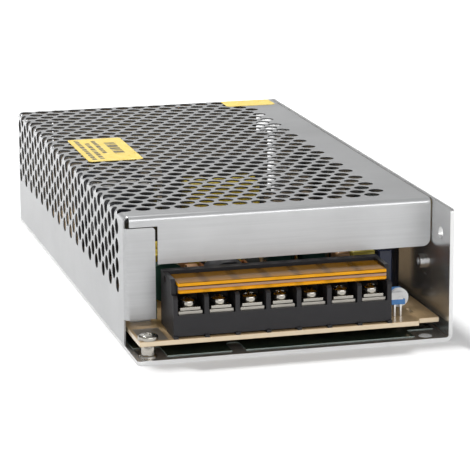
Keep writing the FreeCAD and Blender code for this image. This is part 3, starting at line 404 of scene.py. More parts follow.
def trimmer_plastic(blue, white):
    """Blue moulding with a white shaft end above its band."""
    paint = Paint("blue body", {"Coat Weight": 0.2})
    y, z = paint.place("Y"), paint.place("Z")
    shaft = band(z, TRIMMER_BAND, CASE_HEIGHT, 2) * band(y, 0, TRIMMER_BACK, 1)
    broad = paint.noise(160, 3)
    paint.colour(paint.mix(paint.tones(broad, blue, 0.92, 1.08), white, shaft))
    paint.roughness(broad, 0.25, 0.36)
    return paint.material


def band(wire, low, high, axis):
    """One between two places along an axis, given in millimetres."""
    shift = CORNER[axis]
    return (wire > (low - shift) * MM) * (wire < (high - shift) * MM)


def dimples(paint, x, y, sheet):
    """A height that sinks over each hole of the cover's top, in both sets of rows."""

    def sunk(stagger):
        column = at(sheet.top_first + stagger * sheet.pitch / 2, 0, 0).x
        row = at(0, sheet.first_row + stagger * sheet.row_step, 0).y
        across = paint.apart(x, column, sheet.pitch)
        along = paint.apart(y, row, 2 * sheet.row_step)
        far = paint.maths("SQRT", across * across + along * along)
        radius = sheet.hole / 2 * MM
        return paint.smooth_step(far, radius * 0.75, radius * 1.05, -1.0, 0.0)

    return sunk(0) + sunk(1)


# Mesh helpers


def sharp_mesh(name, part, material=None, angle=38):
    """A mesh from points and faces, shaded smooth, with edges sharper than the angle kept hard."""
    mesh = bpy.data.meshes.new(name)
    mesh.from_pydata(part[0], [], part[1])
    mesh.validate()
    mesh.shade_smooth()
    mesh.set_sharp_from_angle(angle=math.radians(angle))
    if material:
        mesh.materials.append(material)
    return mesh


def case_mesh(name, part, material, angle=38):
    """A mesh from points on the case, in millimetres, and faces."""
    points, faces = part
    return sharp_mesh(name, ([at(*p) for p in points], faces), material, angle)


def linked(name, mesh):
    """A new object of a mesh, in the scene."""
    piece = bpy.data.objects.new(name, mesh)
    bpy.context.scene.collection.objects.link(piece)
    return piece


def seat(name, mesh, body="power_supply", replaced=()):
    """Puts a mesh in the scene as a piece that rides on a body."""
    piece = linked(name, mesh)
    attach(piece, body)
    if replaced:
        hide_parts(*replaced)


def applied(piece, name, material=None):
    """The mesh of an object with its modifiers applied, and the object gone."""
    bpy.context.view_layer.update()
    graph = bpy.context.evaluated_depsgraph_get()
    mesh = bpy.data.meshes.new_from_object(piece.evaluated_get(graph))
    mesh.name = name
    bpy.data.objects.remove(piece)
    if material:
        mesh.materials.clear()
        mesh.materials.append(material)
    return mesh


def plain_copy(node):
    """A solid's mesh with its flat faces joined again, so that its edges can be rounded."""
    source = SOLIDS[node].data
    mesh = bpy.data.meshes.new(node)
    mesh.from_pydata([v.co for v in source.vertices], [], [tuple(p.vertices) for p in source.polygons])
    work = bmesh.new()
    work.from_mesh(mesh)
    bmesh.ops.remove_doubles(work, verts=work.verts, dist=SAME_PLACE)
    bmesh.ops.dissolve_limit(work, angle_limit=math.radians(1.5), verts=work.verts, edges=work.edges)
    work.to_mesh(mesh)
    work.free()
    mesh.shade_smooth()
    mesh.set_sharp_from_angle(angle=math.radians(BEVEL_FROM))
    return mesh


def dress(node, edge, material, body="power_supply", segments=2):
    """A copy of a solid with rounded edges and its finish, in place of the solid."""
    piece = linked(node, plain_copy(node))
    rounding = piece.modifiers.new("rounding", "BEVEL")
    rounding.width = edge * MM
    rounding.segments = segments
    rounding.limit_method = "ANGLE"
    rounding.angle_limit = math.radians(BEVEL_FROM)
    rounding.miter_outer = "MITER_ARC"
    rounding.harden_normals = True
    even = piece.modifiers.new("even flats", "WEIGHTED_NORMAL")
    even.keep_sharp = True
    seat(node + "_form", applied(piece, node, material), body, (node,))


def circle(radius, count, middle=(0, 0)):
    """Places evenly spaced round a middle, in X and Y."""
    return [(middle[0] + radius * math.cos(math.tau * k / count), middle[1] + radius * math.sin(math.tau * k / count))
            for k in range(count)]


def ring_faces(starts, count):
    """Four-sided faces between each ring of points and the next, from the numbers of their first points."""
    return [(low + k, low + (k + 1) % count, high + (k + 1) % count, high + k)
            for low, high in zip(starts, starts[1:]) for k in range(count)]


def lathe(profile, turns=40):
    """Points and faces of a turned form: profile is (radius, height) from the axis back to the axis."""
    points, faces, rings = [], [], []
    for radius, height in profile:
        spots = [(0, 0)] if radius < 1e-6 else circle(radius, turns)
        rings.append(list(range(len(points), len(points) + len(spots))))
        points.extend(Vector((x, y, height)) for x, y in spots)
    for low, high in zip(rings, rings[1:]):
        for i in range(turns):
            j = (i + 1) % turns
            if len(low) == 1:
                faces.append((low[0], high[j], high[i]))
            elif len(high) == 1:
                faces.append((low[i], low[j], high[0]))
            else:
                faces.append((low[i], low[j], high[j], high[i]))
    return points, faces


def gather(parts):
    """Several sets of points and faces as one."""
    points, faces = [], []
    for more, ways in parts:
        start = len(points)
        points.extend(more)
        faces.extend(tuple(start + k for k in way) for way in ways)
    return points, faces


def moved(part, place):
    """Points and faces shifted to a place."""
    points, faces = part
    return [p + Vector(place) for p in points], faces


def wire_loop(path, radius, sides=6):
    """A wire that follows a closed path of points."""
    points = []
    count = len(path)
    guide = None
    for i, spot in enumerate(path):
        along = (path[(i + 1) % count] - path[i - 1]).normalized()
        if guide is None:
            guide = along.orthogonal().normalized()
        guide = (guide - along * guide.dot(along)).normalized()
        side = along.cross(guide)
        for k in range(sides):
            turn = 2 * math.pi * k / sides
            points.append(spot + (guide * math.cos(turn) + side * math.sin(turn)) * radius)
    return points, ring_faces([*range(0, count * sides, sides), 0], sides)


def prism(outline, low, high):
    """A flat outline in X and Y, raised from low to high."""
    count = len(outline)
    points = [Vector((x, y, low)) for x, y in outline] + [Vector((x, y, high)) for x, y in outline]
    faces = [tuple(range(count))[::-1], tuple(range(count, 2 * count)), *ring_faces((0, count), count)]
    return points, faces


def rounded(corners, radius, steps=5):
    """An outline with its corners rounded, each by the radius or by its own one."""
    outline = []
    count = len(corners)
    for i, corner in enumerate(corners):
        spot = Vector(corner[:2])
        reach = corner[2] if len(corner) > 2 else radius
        before = (Vector(corners[i - 1][:2]) - spot).normalized()
        after = (Vector(corners[(i + 1) % count][:2]) - spot).normalized()
        half = before.angle(after) / 2
        if reach < 1e-6:
            outline.append(spot)
            continue
        cut = reach / math.tan(half)
        middle = spot + (before + after).normalized() * (reach / math.sin(half))
        start, end = spot + before * cut, spot + after * cut
        for k in range(steps + 1):
            ray = (start - middle).lerp(end - middle, k / steps)
            outline.append(middle + ray.normalized() * reach)
    return outline


# The cover


def fold_length(sheet):
    """Length of flat sheet that a right-angled fold takes up on its outer side."""
    return sheet.fold * math.pi / 2


def flat_length(sheet):
    """Length of the flat sheet between its front and rear folds."""
    return CASE_REAR - LIP_FACE - 2 * sheet.fold


def sheet_places(sheet):
    """Middle of every hole, as the flat sheet is punched before it is folded."""
    middles = []
    for row in range(sheet.rows):
        v = sheet.first_row + sheet.row_step * row - LIP_FACE - sheet.fold
        stagger = row % 2 * sheet.pitch / 2
        for i in range(sheet.columns):
            middles.append((sheet.top_first + stagger + sheet.pitch * i - sheet.fold, v))
        for k in range(SIDE_HOLES):
            z = sheet.side_first + stagger + sheet.pitch * k
            middles.append((z - CASE_HEIGHT + sheet.fold - fold_length(sheet), v))
    return middles


def fold_sheet(sheet, u, v, depth):
    """Where a point of the flat sheet lies on the folded cover, and the way that it faces."""
    radius, fold, length = sheet.fold, fold_length(sheet), flat_length(sheet)
    if u >= 0:
        spot, face = Vector((radius + u, 0, CASE_HEIGHT)), Vector((0, 0, 1))
    elif u > -fold:
        turn = -u / radius
        spot = Vector((radius - radius * math.sin(turn), 0, CASE_HEIGHT - radius + radius * math.cos(turn)))
        face = Vector((-math.sin(turn), 0, math.cos(turn)))
    else:
        spot, face = Vector((0, 0, CASE_HEIGHT - radius + u + fold)), Vector((-1, 0, 0))
    over = -v if v < 0 else v - length
    sunk, y, way = 0.0, LIP_FACE + radius + v, face
    if over > 0:
        base = LIP_FACE + radius if v < 0 else CASE_REAR - radius
        end = Vector((0, -1 if v < 0 else 1, 0))
        turn = min(over / radius, math.pi / 2)
        sunk = radius - radius * math.cos(turn) + max(0.0, over - fold)
        y = base + end.y * radius * math.sin(turn)
        way = face * math.cos(turn) + end * math.sin(turn)
    place = spot - face * sunk + Vector((0, y, 0)) - way * depth
    return place, way


def sheet_outline(sheet):
    """Edge of the flat sheet, with the strip, lip, flanges and rear panel that fold down."""
    fold, length = fold_length(sheet), flat_length(sheet)

    def low(z):
        """How far before a fold the sheet's point at a height lies."""
        return z - CASE_HEIGHT + sheet.fold - fold

    foot, flange, strip, lip = low(BASE_TOP), low(FLANGE_TOP), low(STRIP_FOOT), low(LIP_FOOT)
    flange_foot, notch_top, notch_foot = low(FLANGE_FOOT), low(NOTCH_TOP), low(NOTCH_FOOT)
    right = COVER_RIGHT - sheet.fold
    reach = fold + FLANGE_REACH - sheet.fold
    rear_reach = fold + REAR_FLANGE_REACH - sheet.fold
    panel_left, panel = PANEL_LEFT - sheet.fold, PANEL_RIGHT - sheet.fold
    return rounded([
        (foot, -WALL_GAP), (flange_foot, -WALL_GAP), (flange_foot, -reach), (flange, -reach, FLANGE_ROUND),
        (flange, -RELIEF), (0, -RELIEF), (0, strip), (LIP_START, strip), (LIP_START, lip), (right, lip, LIP_ROUND),
        (right, length - strip), (panel, length - strip), (panel, length - notch_top),
        (panel - NOTCH_DEPTH, length - notch_top), (panel - NOTCH_DEPTH, length - notch_foot),
        (panel, length - notch_foot), (panel, length - foot), (panel_left, length - foot),
        (panel_left, length - strip), (0, length - strip), (0, length + RELIEF), (flange, length + RELIEF),
        (flange, length + rear_reach), (foot, length + rear_reach)], 0)


def crease_ends(sheet, step):
    """Ends of the lines along which the left wall, the front and the rear start one step of their folds."""
    shift, length = fold_length(sheet) * step / sheet.bends, flat_length(sheet)
    return (((-shift, -PAST_SHEET), (-shift, length + PAST_SHEET)),
            ((-PAST_SHEET, -shift), (PAST_RIGHT, -shift)),
            ((-PAST_SHEET, length + shift), (PAST_RIGHT, length + shift)))


class Rims:
    """Tells on which hole's rim a point of the flat sheet lies."""

    def __init__(self, middles, radius):
        self.radius = radius
        self.cells = {}
        for middle in map(Vector, middles):
            self.cells.setdefault(self.cell(middle), []).append(middle)

    def cell(self, spot):
        return round(spot.x / CELL), round(spot.y / CELL)

    def middle(self, spot):
        """The middle of the hole whose rim passes nearest to the point, or None."""
        column, row = self.cell(spot)
        near = [(abs((spot - middle).length - self.radius), tuple(middle)) for i in (-1, 0, 1) for j in (-1, 0, 1)
                for middle in self.cells.get((column + i, row + j), ())]
        near = [pair for pair in near if pair[0] < RIM_REACH]
        return Vector(min(near)[1]) if near else None


def cut_sheet(sheet, middles, outer):
    """The flat sheet as points and faces, cut up round its holes and along its folds."""
    points = [Vector(p) for p in sheet_outline(sheet)]
    loops = [list(range(len(points)))]
    for middle in middles:
        loops.append(list(range(len(points), len(points) + sheet.sides)))
        points.extend(Vector(spot) for spot in circle(outer, sheet.sides, middle))
    creases = []
    for step in range(sheet.bends + 1):
        for ends in crease_ends(sheet, step):
            creases.append((len(points), len(points) + 1))
            points.extend(Vector(end) for end in ends)
    found = geometry.delaunay_2d_cdt(points, creases, loops, 0, 1e-5)
    flat, faces, origins = found[0], found[2], found[5]
    kept = [face for face, origin in zip(faces, origins) if list(origin) == [0]]
    used = sorted({k for face in kept for k in face})
    index = {k: i for i, k in enumerate(used)}
    return [flat[k] for k in used], [[index[k] for k in face] for face in kept]


def perforated_cover(sheet, material, hole_shade_material):
    """The cut sheet is folded, given its thickness and eased at the rim of each hole."""
    middles = sheet_places(sheet)
    outer = sheet.hole / 2 + sheet.ease
    flat, kept = cut_sheet(sheet, middles, outer)
    rims = Rims(middles, outer)
    depths = {"front": 0, "upper": sheet.ease, "lower": sheet.thickness - sheet.ease, "back": sheet.thickness}
    points, faces, normals, shaded_walls, made = [], [], [], [], {}

    def corner(k, layer):
        """The number of a point of one layer and the way it faces: the wall of a hole is narrower than its rim."""
        if (k, layer) not in made:
            spot = flat[k]
            middle = rims.middle(spot) if layer in ("upper", "lower") else None
            if middle:
                spot = middle + (spot - middle) * (sheet.hole / 2 / outer)
            place, way = fold_sheet(sheet, spot.x, spot.y, depths[layer])
            made[(k, layer)] = (len(points), way)
            points.append(at(*place))
        return made[(k, layer)]

    for face in kept:
        for layer, side, ring in (("front", 1, face), ("back", -1, face[::-1])):
            corners = [corner(k, layer) for k in ring]
            faces.append([i for i, way in corners])
            normals.extend(way * side for i, way in corners)
    edges = dict.fromkeys((a, b) for face in kept for a, b in zip(face, face[1:] + face[:1]))
    layers = list(depths)
    for a, b in ((a, b) for a, b in edges if (b, a) not in edges):
        for high, below in zip(layers, layers[1:]):
            ring = [corner(b, high)[0], corner(a, high)[0], corner(a, below)[0], corner(b, below)[0]]
            # The hole walls below the eased top rim take the second material: painted shade inside the holes.
            if high != "front" and rims.middle(flat[a]):
                shaded_walls.append(len(faces))
            faces.append(ring)
            way = (points[ring[1]] - points[ring[0]]).cross(points[ring[3]] - points[ring[0]])
            normals.extend([way.normalized() if way.length > 1e-14 else Vector((0, 0, 1))] * 4)
    mesh = bpy.data.meshes.new("cover sheet")
    mesh.from_pydata(points, [], faces)
    mesh.shade_smooth()
    mesh.normals_split_custom_set([tuple(way) for way in normals])
    mesh.materials.append(material)
    mesh.materials.append(hole_shade_material)
    for number in shaded_walls:
        mesh.polygons[number].material_index = 1
    return mesh


# Sizes and colours that a user would change


class SUPPLY_PG_sheet(bpy.types.PropertyGroup):
    thickness: FloatProperty(name="Sheet thickness", description="Thickness of the cover's sheet in mm", default=0.5)
    fold: FloatProperty(name="Fold radius", description="Outer radius of the cover's folds in mm", default=1.7)
    hole: FloatProperty(name="Hole width", description="Width of a round hole in mm", default=4.75)
    pitch: FloatProperty(name="Hole pitch", description="Distance between holes of a row in mm", default=6.04)
    row_step: FloatProperty(name="Row step", description="Distance between rows in mm", default=5.23)
    rows: IntProperty(name="Rows", description="Rows of holes along the case", default=33)
    columns: IntProperty(name="Columns", description="Holes of a row on the top", default=14)
    first_row: FloatProperty(name="First row", description="Place of the first row along the case in mm", default=27)
    top_first: FloatProperty(name="First hole of the top", description="Its place across the case in mm", default=2.25)
    side_first: FloatProperty(name="First hole of the side", description="Its height in mm", default=18.1)
    ease: FloatProperty(name="Rim easing", description="Bevel at the rim of each hole in mm", default=0.07)
    sides: IntProperty(name="Hole sides", description="Straight sides that make a round hole", default=20)
    bends: IntProperty(name="Fold steps", description="Flat steps that make a fold", default=6)


class SUPPLY_PG_finishes(bpy.types.PropertyGroup):
    zinc: FloatVectorProperty(name="Cover", description="Colour of the cover's sheet", subtype="COLOR",
                              default=(0.51, 0.515, 0.52))
    rolled: FloatVectorProperty(name="Chassis", description="Colour of the chassis sheet", subtype="COLOR",
                                default=(0.66, 0.66, 0.66))
    film: FloatVectorProperty(name="Film", description="Colour of the insulating film", subtype="COLOR",
                              default=(0.02, 0.035, 0.025))
    board: FloatVectorProperty(name="Board", description="Colour of the circuit board", subtype="COLOR",
                               default=(0.52, 0.36, 0.19))
    block: FloatVectorProperty(name="Terminal block", description="Colour of the moulded block", subtype="COLOR",
                               default=(0.016, 0.015, 0.017))
    amber: FloatVectorProperty(name="Lid", description="Colour of the lid over the terminals", subtype="COLOR",
                               default=(0.95, 0.42, 0.015))
    nickel: FloatVectorProperty(name="Screws", description="Colour of the plated screws and plates",
                                subtype="COLOR", default=(0.40, 0.38, 0.34))
    sticker: FloatVectorProperty(name="Stickers", description="Colour of the stickers", subtype="COLOR",
                                 default=(0.90, 0.68, 0.15))
    copper: FloatVectorProperty(name="Windings", description="Colour of the enamelled wire", subtype="COLOR",
                                default=(0.62, 0.24, 0.09))


# Operators


class SUPPLY_OT_stage(bpy.types.Operator):
    """Floor, lamps, sky and the camera at the photograph's view"""

    bl_idname = "supply.stage"
    bl_label = "Stage"

    def execute(self, context):
        scene = context.scene
        scene.view_settings.view_transform = "Standard"
        self.floor()
        self.sky(scene)
        for lamp in LAMPS:
            self.lamp(*lamp)
        self.camera(scene)
        return {"FINISHED"}

    def floor(self):
        """A pale floor that turns up at its rim into a low backdrop, white where the background shows."""
        paint = Paint("floor paint", {"Roughness": 0.9, "Specular IOR Level": 0.0})
        paint.colour(paint.ramp(paint.noise(3, 2), (0.85, 0.85, 0.85), (0.87, 0.87, 0.87)))
        far = paint.node("ShaderNodeVectorMath", {"operation": "LENGTH"}, {0: paint.where}, out="Value")
        share = paint.smooth_step(far, GLOW_FROM, GLOW_TO, 0.0, 1.0)
        plain = Wire(paint, paint.shader.outputs[0])
        glow = paint.node("ShaderNodeEmission", {}, {"Color": (1, 1, 1), "Strength": FLOOR_GLOW})
        bright = paint.node("ShaderNodeAddShader", {}, {0: plain, 1: glow})
        shown = paint.blended(plain, bright, paint.background_rays() * share)
        paint.feed(paint.tree.nodes["Material Output"].inputs["Surface"], shown)
        points = [(x, y, height) for reach, height in FLOOR_RINGS for x, y in circle(reach, FLOOR_TURNS)]
        faces = [tuple(range(FLOOR_TURNS)), *ring_faces(range(0, len(points), FLOOR_TURNS), FLOOR_TURNS)]
        linked("floor", sharp_mesh("floor", (points, faces), paint.material))

    def sky(self, scene):
        """Soft light that falls off from front to rear, the same to every ray."""
        scene.world = bpy.data.worlds.new("studio")
        nodes = Nodes(scene.world)
        way = nodes.node("ShaderNodeTexCoord", out="Generated")
        rear = nodes.node("ShaderNodeMapRange", {}, {0: nodes.part(way, "Y"), 1: -0.4, 2: 0.7, 3: 0.0, 4: 1.0})
        lit, dim = (nodes.node("ShaderNodeBackground", {}, {"Color": (1, 1, 1), "Strength": strength})
                    for strength in (WORLD_FRONT, WORLD_REAR))
        nodes.feed(nodes.tree.nodes["World Output"].inputs["Surface"], nodes.blended(lit, dim, rear))

    def lamp(self, name, place, size, power):
        lamp = bpy.data.lights.new(name, "AREA")
        lamp.shape = "RECTANGLE"
        lamp.size, lamp.size_y = size
        lamp.energy = power
        stand = linked(name, lamp)
        stand.location = place
        stand.rotation_euler = (Vector(LAMP_TARGET) - Vector(place)).to_track_quat("-Z", "Y").to_euler()

    def camera(self, scene):
        """The view fitted to the photograph: turned left, a little above, with a slight roll."""
        turn, lift, roll = (math.radians(angle) for angle in (CAMERA_TURN, CAMERA_LIFT, CAMERA_ROLL))
        back = Vector((math.sin(turn) * math.cos(lift), -math.cos(turn) * math.cos(lift), math.sin(lift)))
        right = (-back).cross(Vector((0, 0, 1))).normalized()
        up = right.cross(-back)
        tilted_right = right * math.cos(roll) + up * math.sin(roll)
        tilted_up = -right * math.sin(roll) + up * math.cos(roll)
        eye = bpy.data.cameras.new("camera")
        eye.lens = CAMERA_LENS
        eye.sensor_width = 36
        stand = linked("camera", eye)
        ways = Matrix((tilted_right, tilted_up, back)).transposed().to_4x4()
        stand.matrix_world = Matrix.Translation(Vector(CAMERA_TARGET) + back * CAMERA_DISTANCE) @ ways
        scene.camera = stand


class SUPPLY_OT_cover(bpy.types.Operator):
    """Perforated cover, folded from one punched sheet"""

    bl_idname = "supply.cover"
    bl_label = "Perforated cover"

    def execute(self, context):
        scene = context.scene
        zinc = galvanised_sheet(scene.supply_finishes.zinc)
        # The hole walls get a near black, barely metallic finish: painted shade inside the holes.
        hole_shade = rolled_metal("painted hole shade", (0.03, 0.03, 0.03), 0.6, metallic=0.1)
        mesh = perforated_cover(scene.supply_sheet, zinc, hole_shade)
        seat("punched_cover", mesh, replaced=("mesh_cover",))
        return {"FINISHED"}


class SUPPLY_OT_chassis(bpy.types.Operator):
    """Chassis, film and board keep their solids' forms and get eased edges and their finishes"""

    bl_idname = "supply.chassis"
    bl_label = "Chassis and board"

    def execute(self, context):
        finishes = context.scene.supply_finishes
        dress("chassis", 0.12, chassis_sheet(finishes.rolled))
        dress("insulating_film", 0.05, insulating_sheet(finishes.film), segments=1)
        dress("circuit_board", 0.12, board_laminate(finishes.board), segments=1)
        return {"FINISHED"}


class SUPPLY_OT_stickers(bpy.types.Operator):
    """Two plain stickers that sink a little over the cover's holes"""

    bl_idname = "supply.stickers"
    bl_label = "Stickers"

    def execute(self, context):
        scene = context.scene
        material = sticker_vinyl(scene.supply_finishes.sticker, (0.05, 0.05, 0.05), scene.supply_sheet)
        for node, name, (left, front), (right, rear) in STICKERS:
            corners = ((left, front), (right, front), (right, rear), (left, rear))
            plate = prism(rounded(corners, STICKER_ROUND, 6), CASE_HEIGHT + 0.01, CASE_HEIGHT + 0.12)
            seat(name, case_mesh(name, plate, material), replaced=(node,))
        return {"FINISHED"}


def cross_screw(head, shank, height, length, dome):
    """A pan head with a cross recess above a shank, its seat at height 0."""
    rim, crown = height * 0.42, height * 0.84
    profile = [(0, -length), (shank * 0.7, -length), (shank, -length + shank * 0.5), (shank, 0), (head * 0.97, 0),
               (head, 0.08), (head, rim)]
    for k in range(1, 7):
        turn = k / 6 * math.pi / 2
        profile.append((head - dome * (1 - math.cos(turn)), rim + (crown - rim) * math.sin(turn)))
    for k in (0.66, 0.33, 0):
        profile.append(((head - dome) * k, crown + (height - crown) * (1 - k * k)))
    body = loose("screw", lathe(profile, 48))
    blades = [loose("recess", recess_blade(head, height, turn)) for turn in (0, math.pi / 2)]
    for tool in blades:
        cut = body.modifiers.new("recess", "BOOLEAN")
        cut.object = tool
        cut.solver = "EXACT"
    ease = body.modifiers.new("ease", "BEVEL")
    ease.width = 0.06 * MM
    ease.segments = 2
    ease.angle_limit = math.radians(40)
    mesh = applied(body, "screw")
    for tool in blades:
        bpy.data.objects.remove(tool)
    mesh.shade_smooth()
    mesh.set_sharp_from_angle(angle=math.radians(45))
    return mesh


def recess_blade(head, height, turn):
    """One tapered blade of the driver's cross, turned about the screw's axis."""
    wide, narrow = head * 0.62, head * 0.16
    blade = [(-wide, -narrow), (wide, -narrow), (wide, narrow), (-wide, narrow)]
    points = [Vector((x * 0.55, y * 0.6, height * 0.5)) for x, y in blade]
    points += [Vector((x, y, height * 1.25)) for x, y in blade]
    faces = [(3, 2, 1, 0), (4, 5, 6, 7), (0, 1, 5, 4), (1, 2, 6, 5), (2, 3, 7, 6), (3, 0, 4, 7)]
    return [Matrix.Rotation(turn, 3, "Z") @ p for p in points], faces


def loose(name, part):
    """An object that is used to shape another and then goes, from a part in millimetres."""
    points, faces = part
    return linked(name, sharp_mesh(name, ([p * MM for p in points], faces)))


def placed(mesh, place, turn, material=None):
    """A copy of a mesh, turned and set at a place given in metres."""
    copy = mesh.copy()
    copy.transform(Matrix.Translation(place) @ Matrix.Rotation(turn, 4, "Z"))
    if material:
        copy.materials.append(material)
    return copy


class SUPPLY_OT_terminals(bpy.types.Operator):
    """Terminal block, contacts, clamp plates and cross-head screws"""

    bl_idname = "supply.terminals"
    bl_label = "Terminals"

    def execute(self, context):
        finishes = context.scene.supply_finishes
        plate = rolled_metal("plated steel", finishes.nickel, 0.2, 0.00001)
        tinned = rolled_metal("tinned brass", shade(finishes.nickel, 0.95), 0.3, 0.00001)
        bright = rolled_metal("bright screw", shade(finishes.nickel, 1.05), 0.14, 0.00001)
        charcoal = moulded("charcoal block", finishes.block, 0.42, fixed={"Specular IOR Level": 0.35})
        dress("terminal_block", 0.3, charcoal)
        dress("terminal_contacts", 0.1, tinned)
        screw = cross_screw(2.75, 1.4, 2.2, 6.5, 1.0)
        for cell, turn in zip(range(CELLS), (0.35, 0.9, 0.1, 1.2, 0.6, 0.2, 1.0)):
            number = cell + 1
            dress("clamp_plate_%d" % number, 0.16, plate, "clamp_%d" % number)
            mesh = placed(screw, at(FIRST_CELL + CELL_PITCH * cell, SCREW_Y, SCREW_SEAT), turn, bright)
            seat("cross_screw_%d" % number, mesh, "screw_%d" % number,
                 ("terminal_screw_%d" % number,))
        return {"FINISHED"}


class SUPPLY_OT_lid(bpy.types.Operator):
    """Hinged amber lid over the terminals"""

    bl_idname = "supply.lid"
    bl_label = "Lid"

    def execute(self, context):
        amber = amber_plastic(context.scene.supply_finishes.amber)
        low, high = (Vector(end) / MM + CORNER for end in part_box("terminal_cover"))
        plate = sweep(lid_section(low, high), low.x + PIN_REACH, high.x - PIN_REACH, 0.5)
        eased = PIN_RADIUS - PIN_EASE
        points, faces = lathe([(0, low.x), (eased, low.x), (PIN_RADIUS, low.x + PIN_EASE),
                               (PIN_RADIUS, high.x - PIN_EASE), (eased, high.x), (0, high.x)], 24)
        turned = [Vector((p.z, PIN_Y + p.x, high.z - PIN_RADIUS + p.y)) for p in points]
        mesh = case_mesh("lid", gather([plate, (turned, [way[::-1] for way in faces])]), amber, 40)
        seat("amber_lid", mesh, "terminal_cover", ("terminal_cover",))
        return {"FINISHED"}


def lid_section(low, high):
    """The lid seen from its end: a top plate, a rounded front edge, a groove, a bead and a lip."""
    front, top, foot = low.y, high.z, low.z
    inner, under = front + LID_WALL, top - LID_WALL
    quarter = [math.pi / 2 * k / 5 for k in range(6)]
    crown = [(front + 0.75 - 0.75 * math.sin(turn), top - 0.75 + 0.75 * math.cos(turn)) for turn in quarter]
    groove = [(front, top - 0.95), (front + 0.55, top - 1.05), (front + 0.55, top - 1.3)]
    bead = [(front + 0.2 - 0.3 * math.sin(math.pi * k / 8), top - 1.35 - 0.75 * k / 8) for k in range(9)]
    lip = [(front + 0.35, top - 2.2), (front, top - 2.4), (front, foot + 0.2), (front + 0.2, foot),
           (inner - 0.2, foot), (inner, foot + 0.2), (inner, under - 0.3), (inner + 0.3, under)]
    return [(high.y, top - 0.12), (high.y - 0.12, top), *crown, *groove, *bead, *lip, (high.y, under)]


def sweep(section, left, right, ease):
    """A section in Y and Z run along X, drawn in a little at both ends."""
    middle = Vector((sum(y for y, z in section), sum(z for y, z in section))) / len(section)
    points, rings = [], []
    for x, share in ((left, 1), (left + ease * 0.3, 0.4), (left + ease, 0), (right - ease, 0),
                     (right - ease * 0.3, 0.4), (right, 1)):
        rings.append(len(points))
        for y, z in section:
            inward = (middle - Vector((y, z))).normalized() * share * 0.16
            points.append(Vector((x, y + inward.x, z + inward.y)))
    count = len(section)
    ends = [tuple(range(count))[::-1], tuple(rings[-1] + k for k in range(count))]
    return points, ring_faces(rings, count) + ends


class SUPPLY_OT_trimmer(bpy.types.Operator):
    """Output trimmer: blue body, white cap, thumbwheel and pins"""

    bl_idname = "supply.trimmer"
    bl_label = "Trimmer"

    def execute(self, context):
        white = moulded("white cap", TRIMMER_WHITE, 0.45)
        tinned = rolled_metal("tinned pins", (0.75, 0.74, 0.72), 0.3)
        dress("trimmer_body", 0.15, trimmer_plastic((0.045, 0.20, 0.50), TRIMMER_WHITE))
        dress("trimmer_cap", 0.15, white)
        dress("trimmer_dial", 0.12, white, "trimmer_dial")
        dress("trimmer_pins", 0.05, tinned, segments=1)
        return {"FINISHED"}


class SUPPLY_OT_fixings(bpy.types.Operator):
    """Board screws, flared standoffs and the flush screws of the side wall"""

    bl_idname = "supply.fixings"
    bl_label = "Screws and standoffs"

    def execute(self, context):
        finishes = context.scene.supply_finishes
        bright = rolled_metal("board screw plating", shade(finishes.nickel, 1.05), 0.15, 0.00001)
        screw = cross_screw(3.1, 1.25, 1.9, 4, 1.3)
        copies = []
        for number, (x, y) in enumerate(STANDOFFS):
            mesh = placed(screw, at(x, y, BOARD_TOP), 0.4 + number)
            copies.append(([v.co.copy() for v in mesh.vertices], [tuple(p.vertices) for p in mesh.polygons]))
        seat("board_screw_heads", sharp_mesh("board screws", gather(copies), bright, 45),
             replaced=("board_screws",))
        low, high = BASE_TOP, BASE_TOP + STANDOFF_HEIGHT
        profile = [(1.35, low), (2.7, low), (2.72, low + 0.18), (2.55, low + 0.42), (2.25, low + 0.5),
                   (2.12, low + 0.62), (2.12, high - 0.25), (1.95, high), (1.35, high), (1.35, low)]
        posts = gather([moved(lathe(profile, 36), (x, y, 0)) for x, y in STANDOFFS])
        seat("flared_standoffs", case_mesh("standoffs", posts, bright, 35),
             replaced=("board_standoffs",))
        dress("cover_screws", 0.08, bright)
        dress("clamp_screws", 0.08, bright)
        return {"FINISHED"}


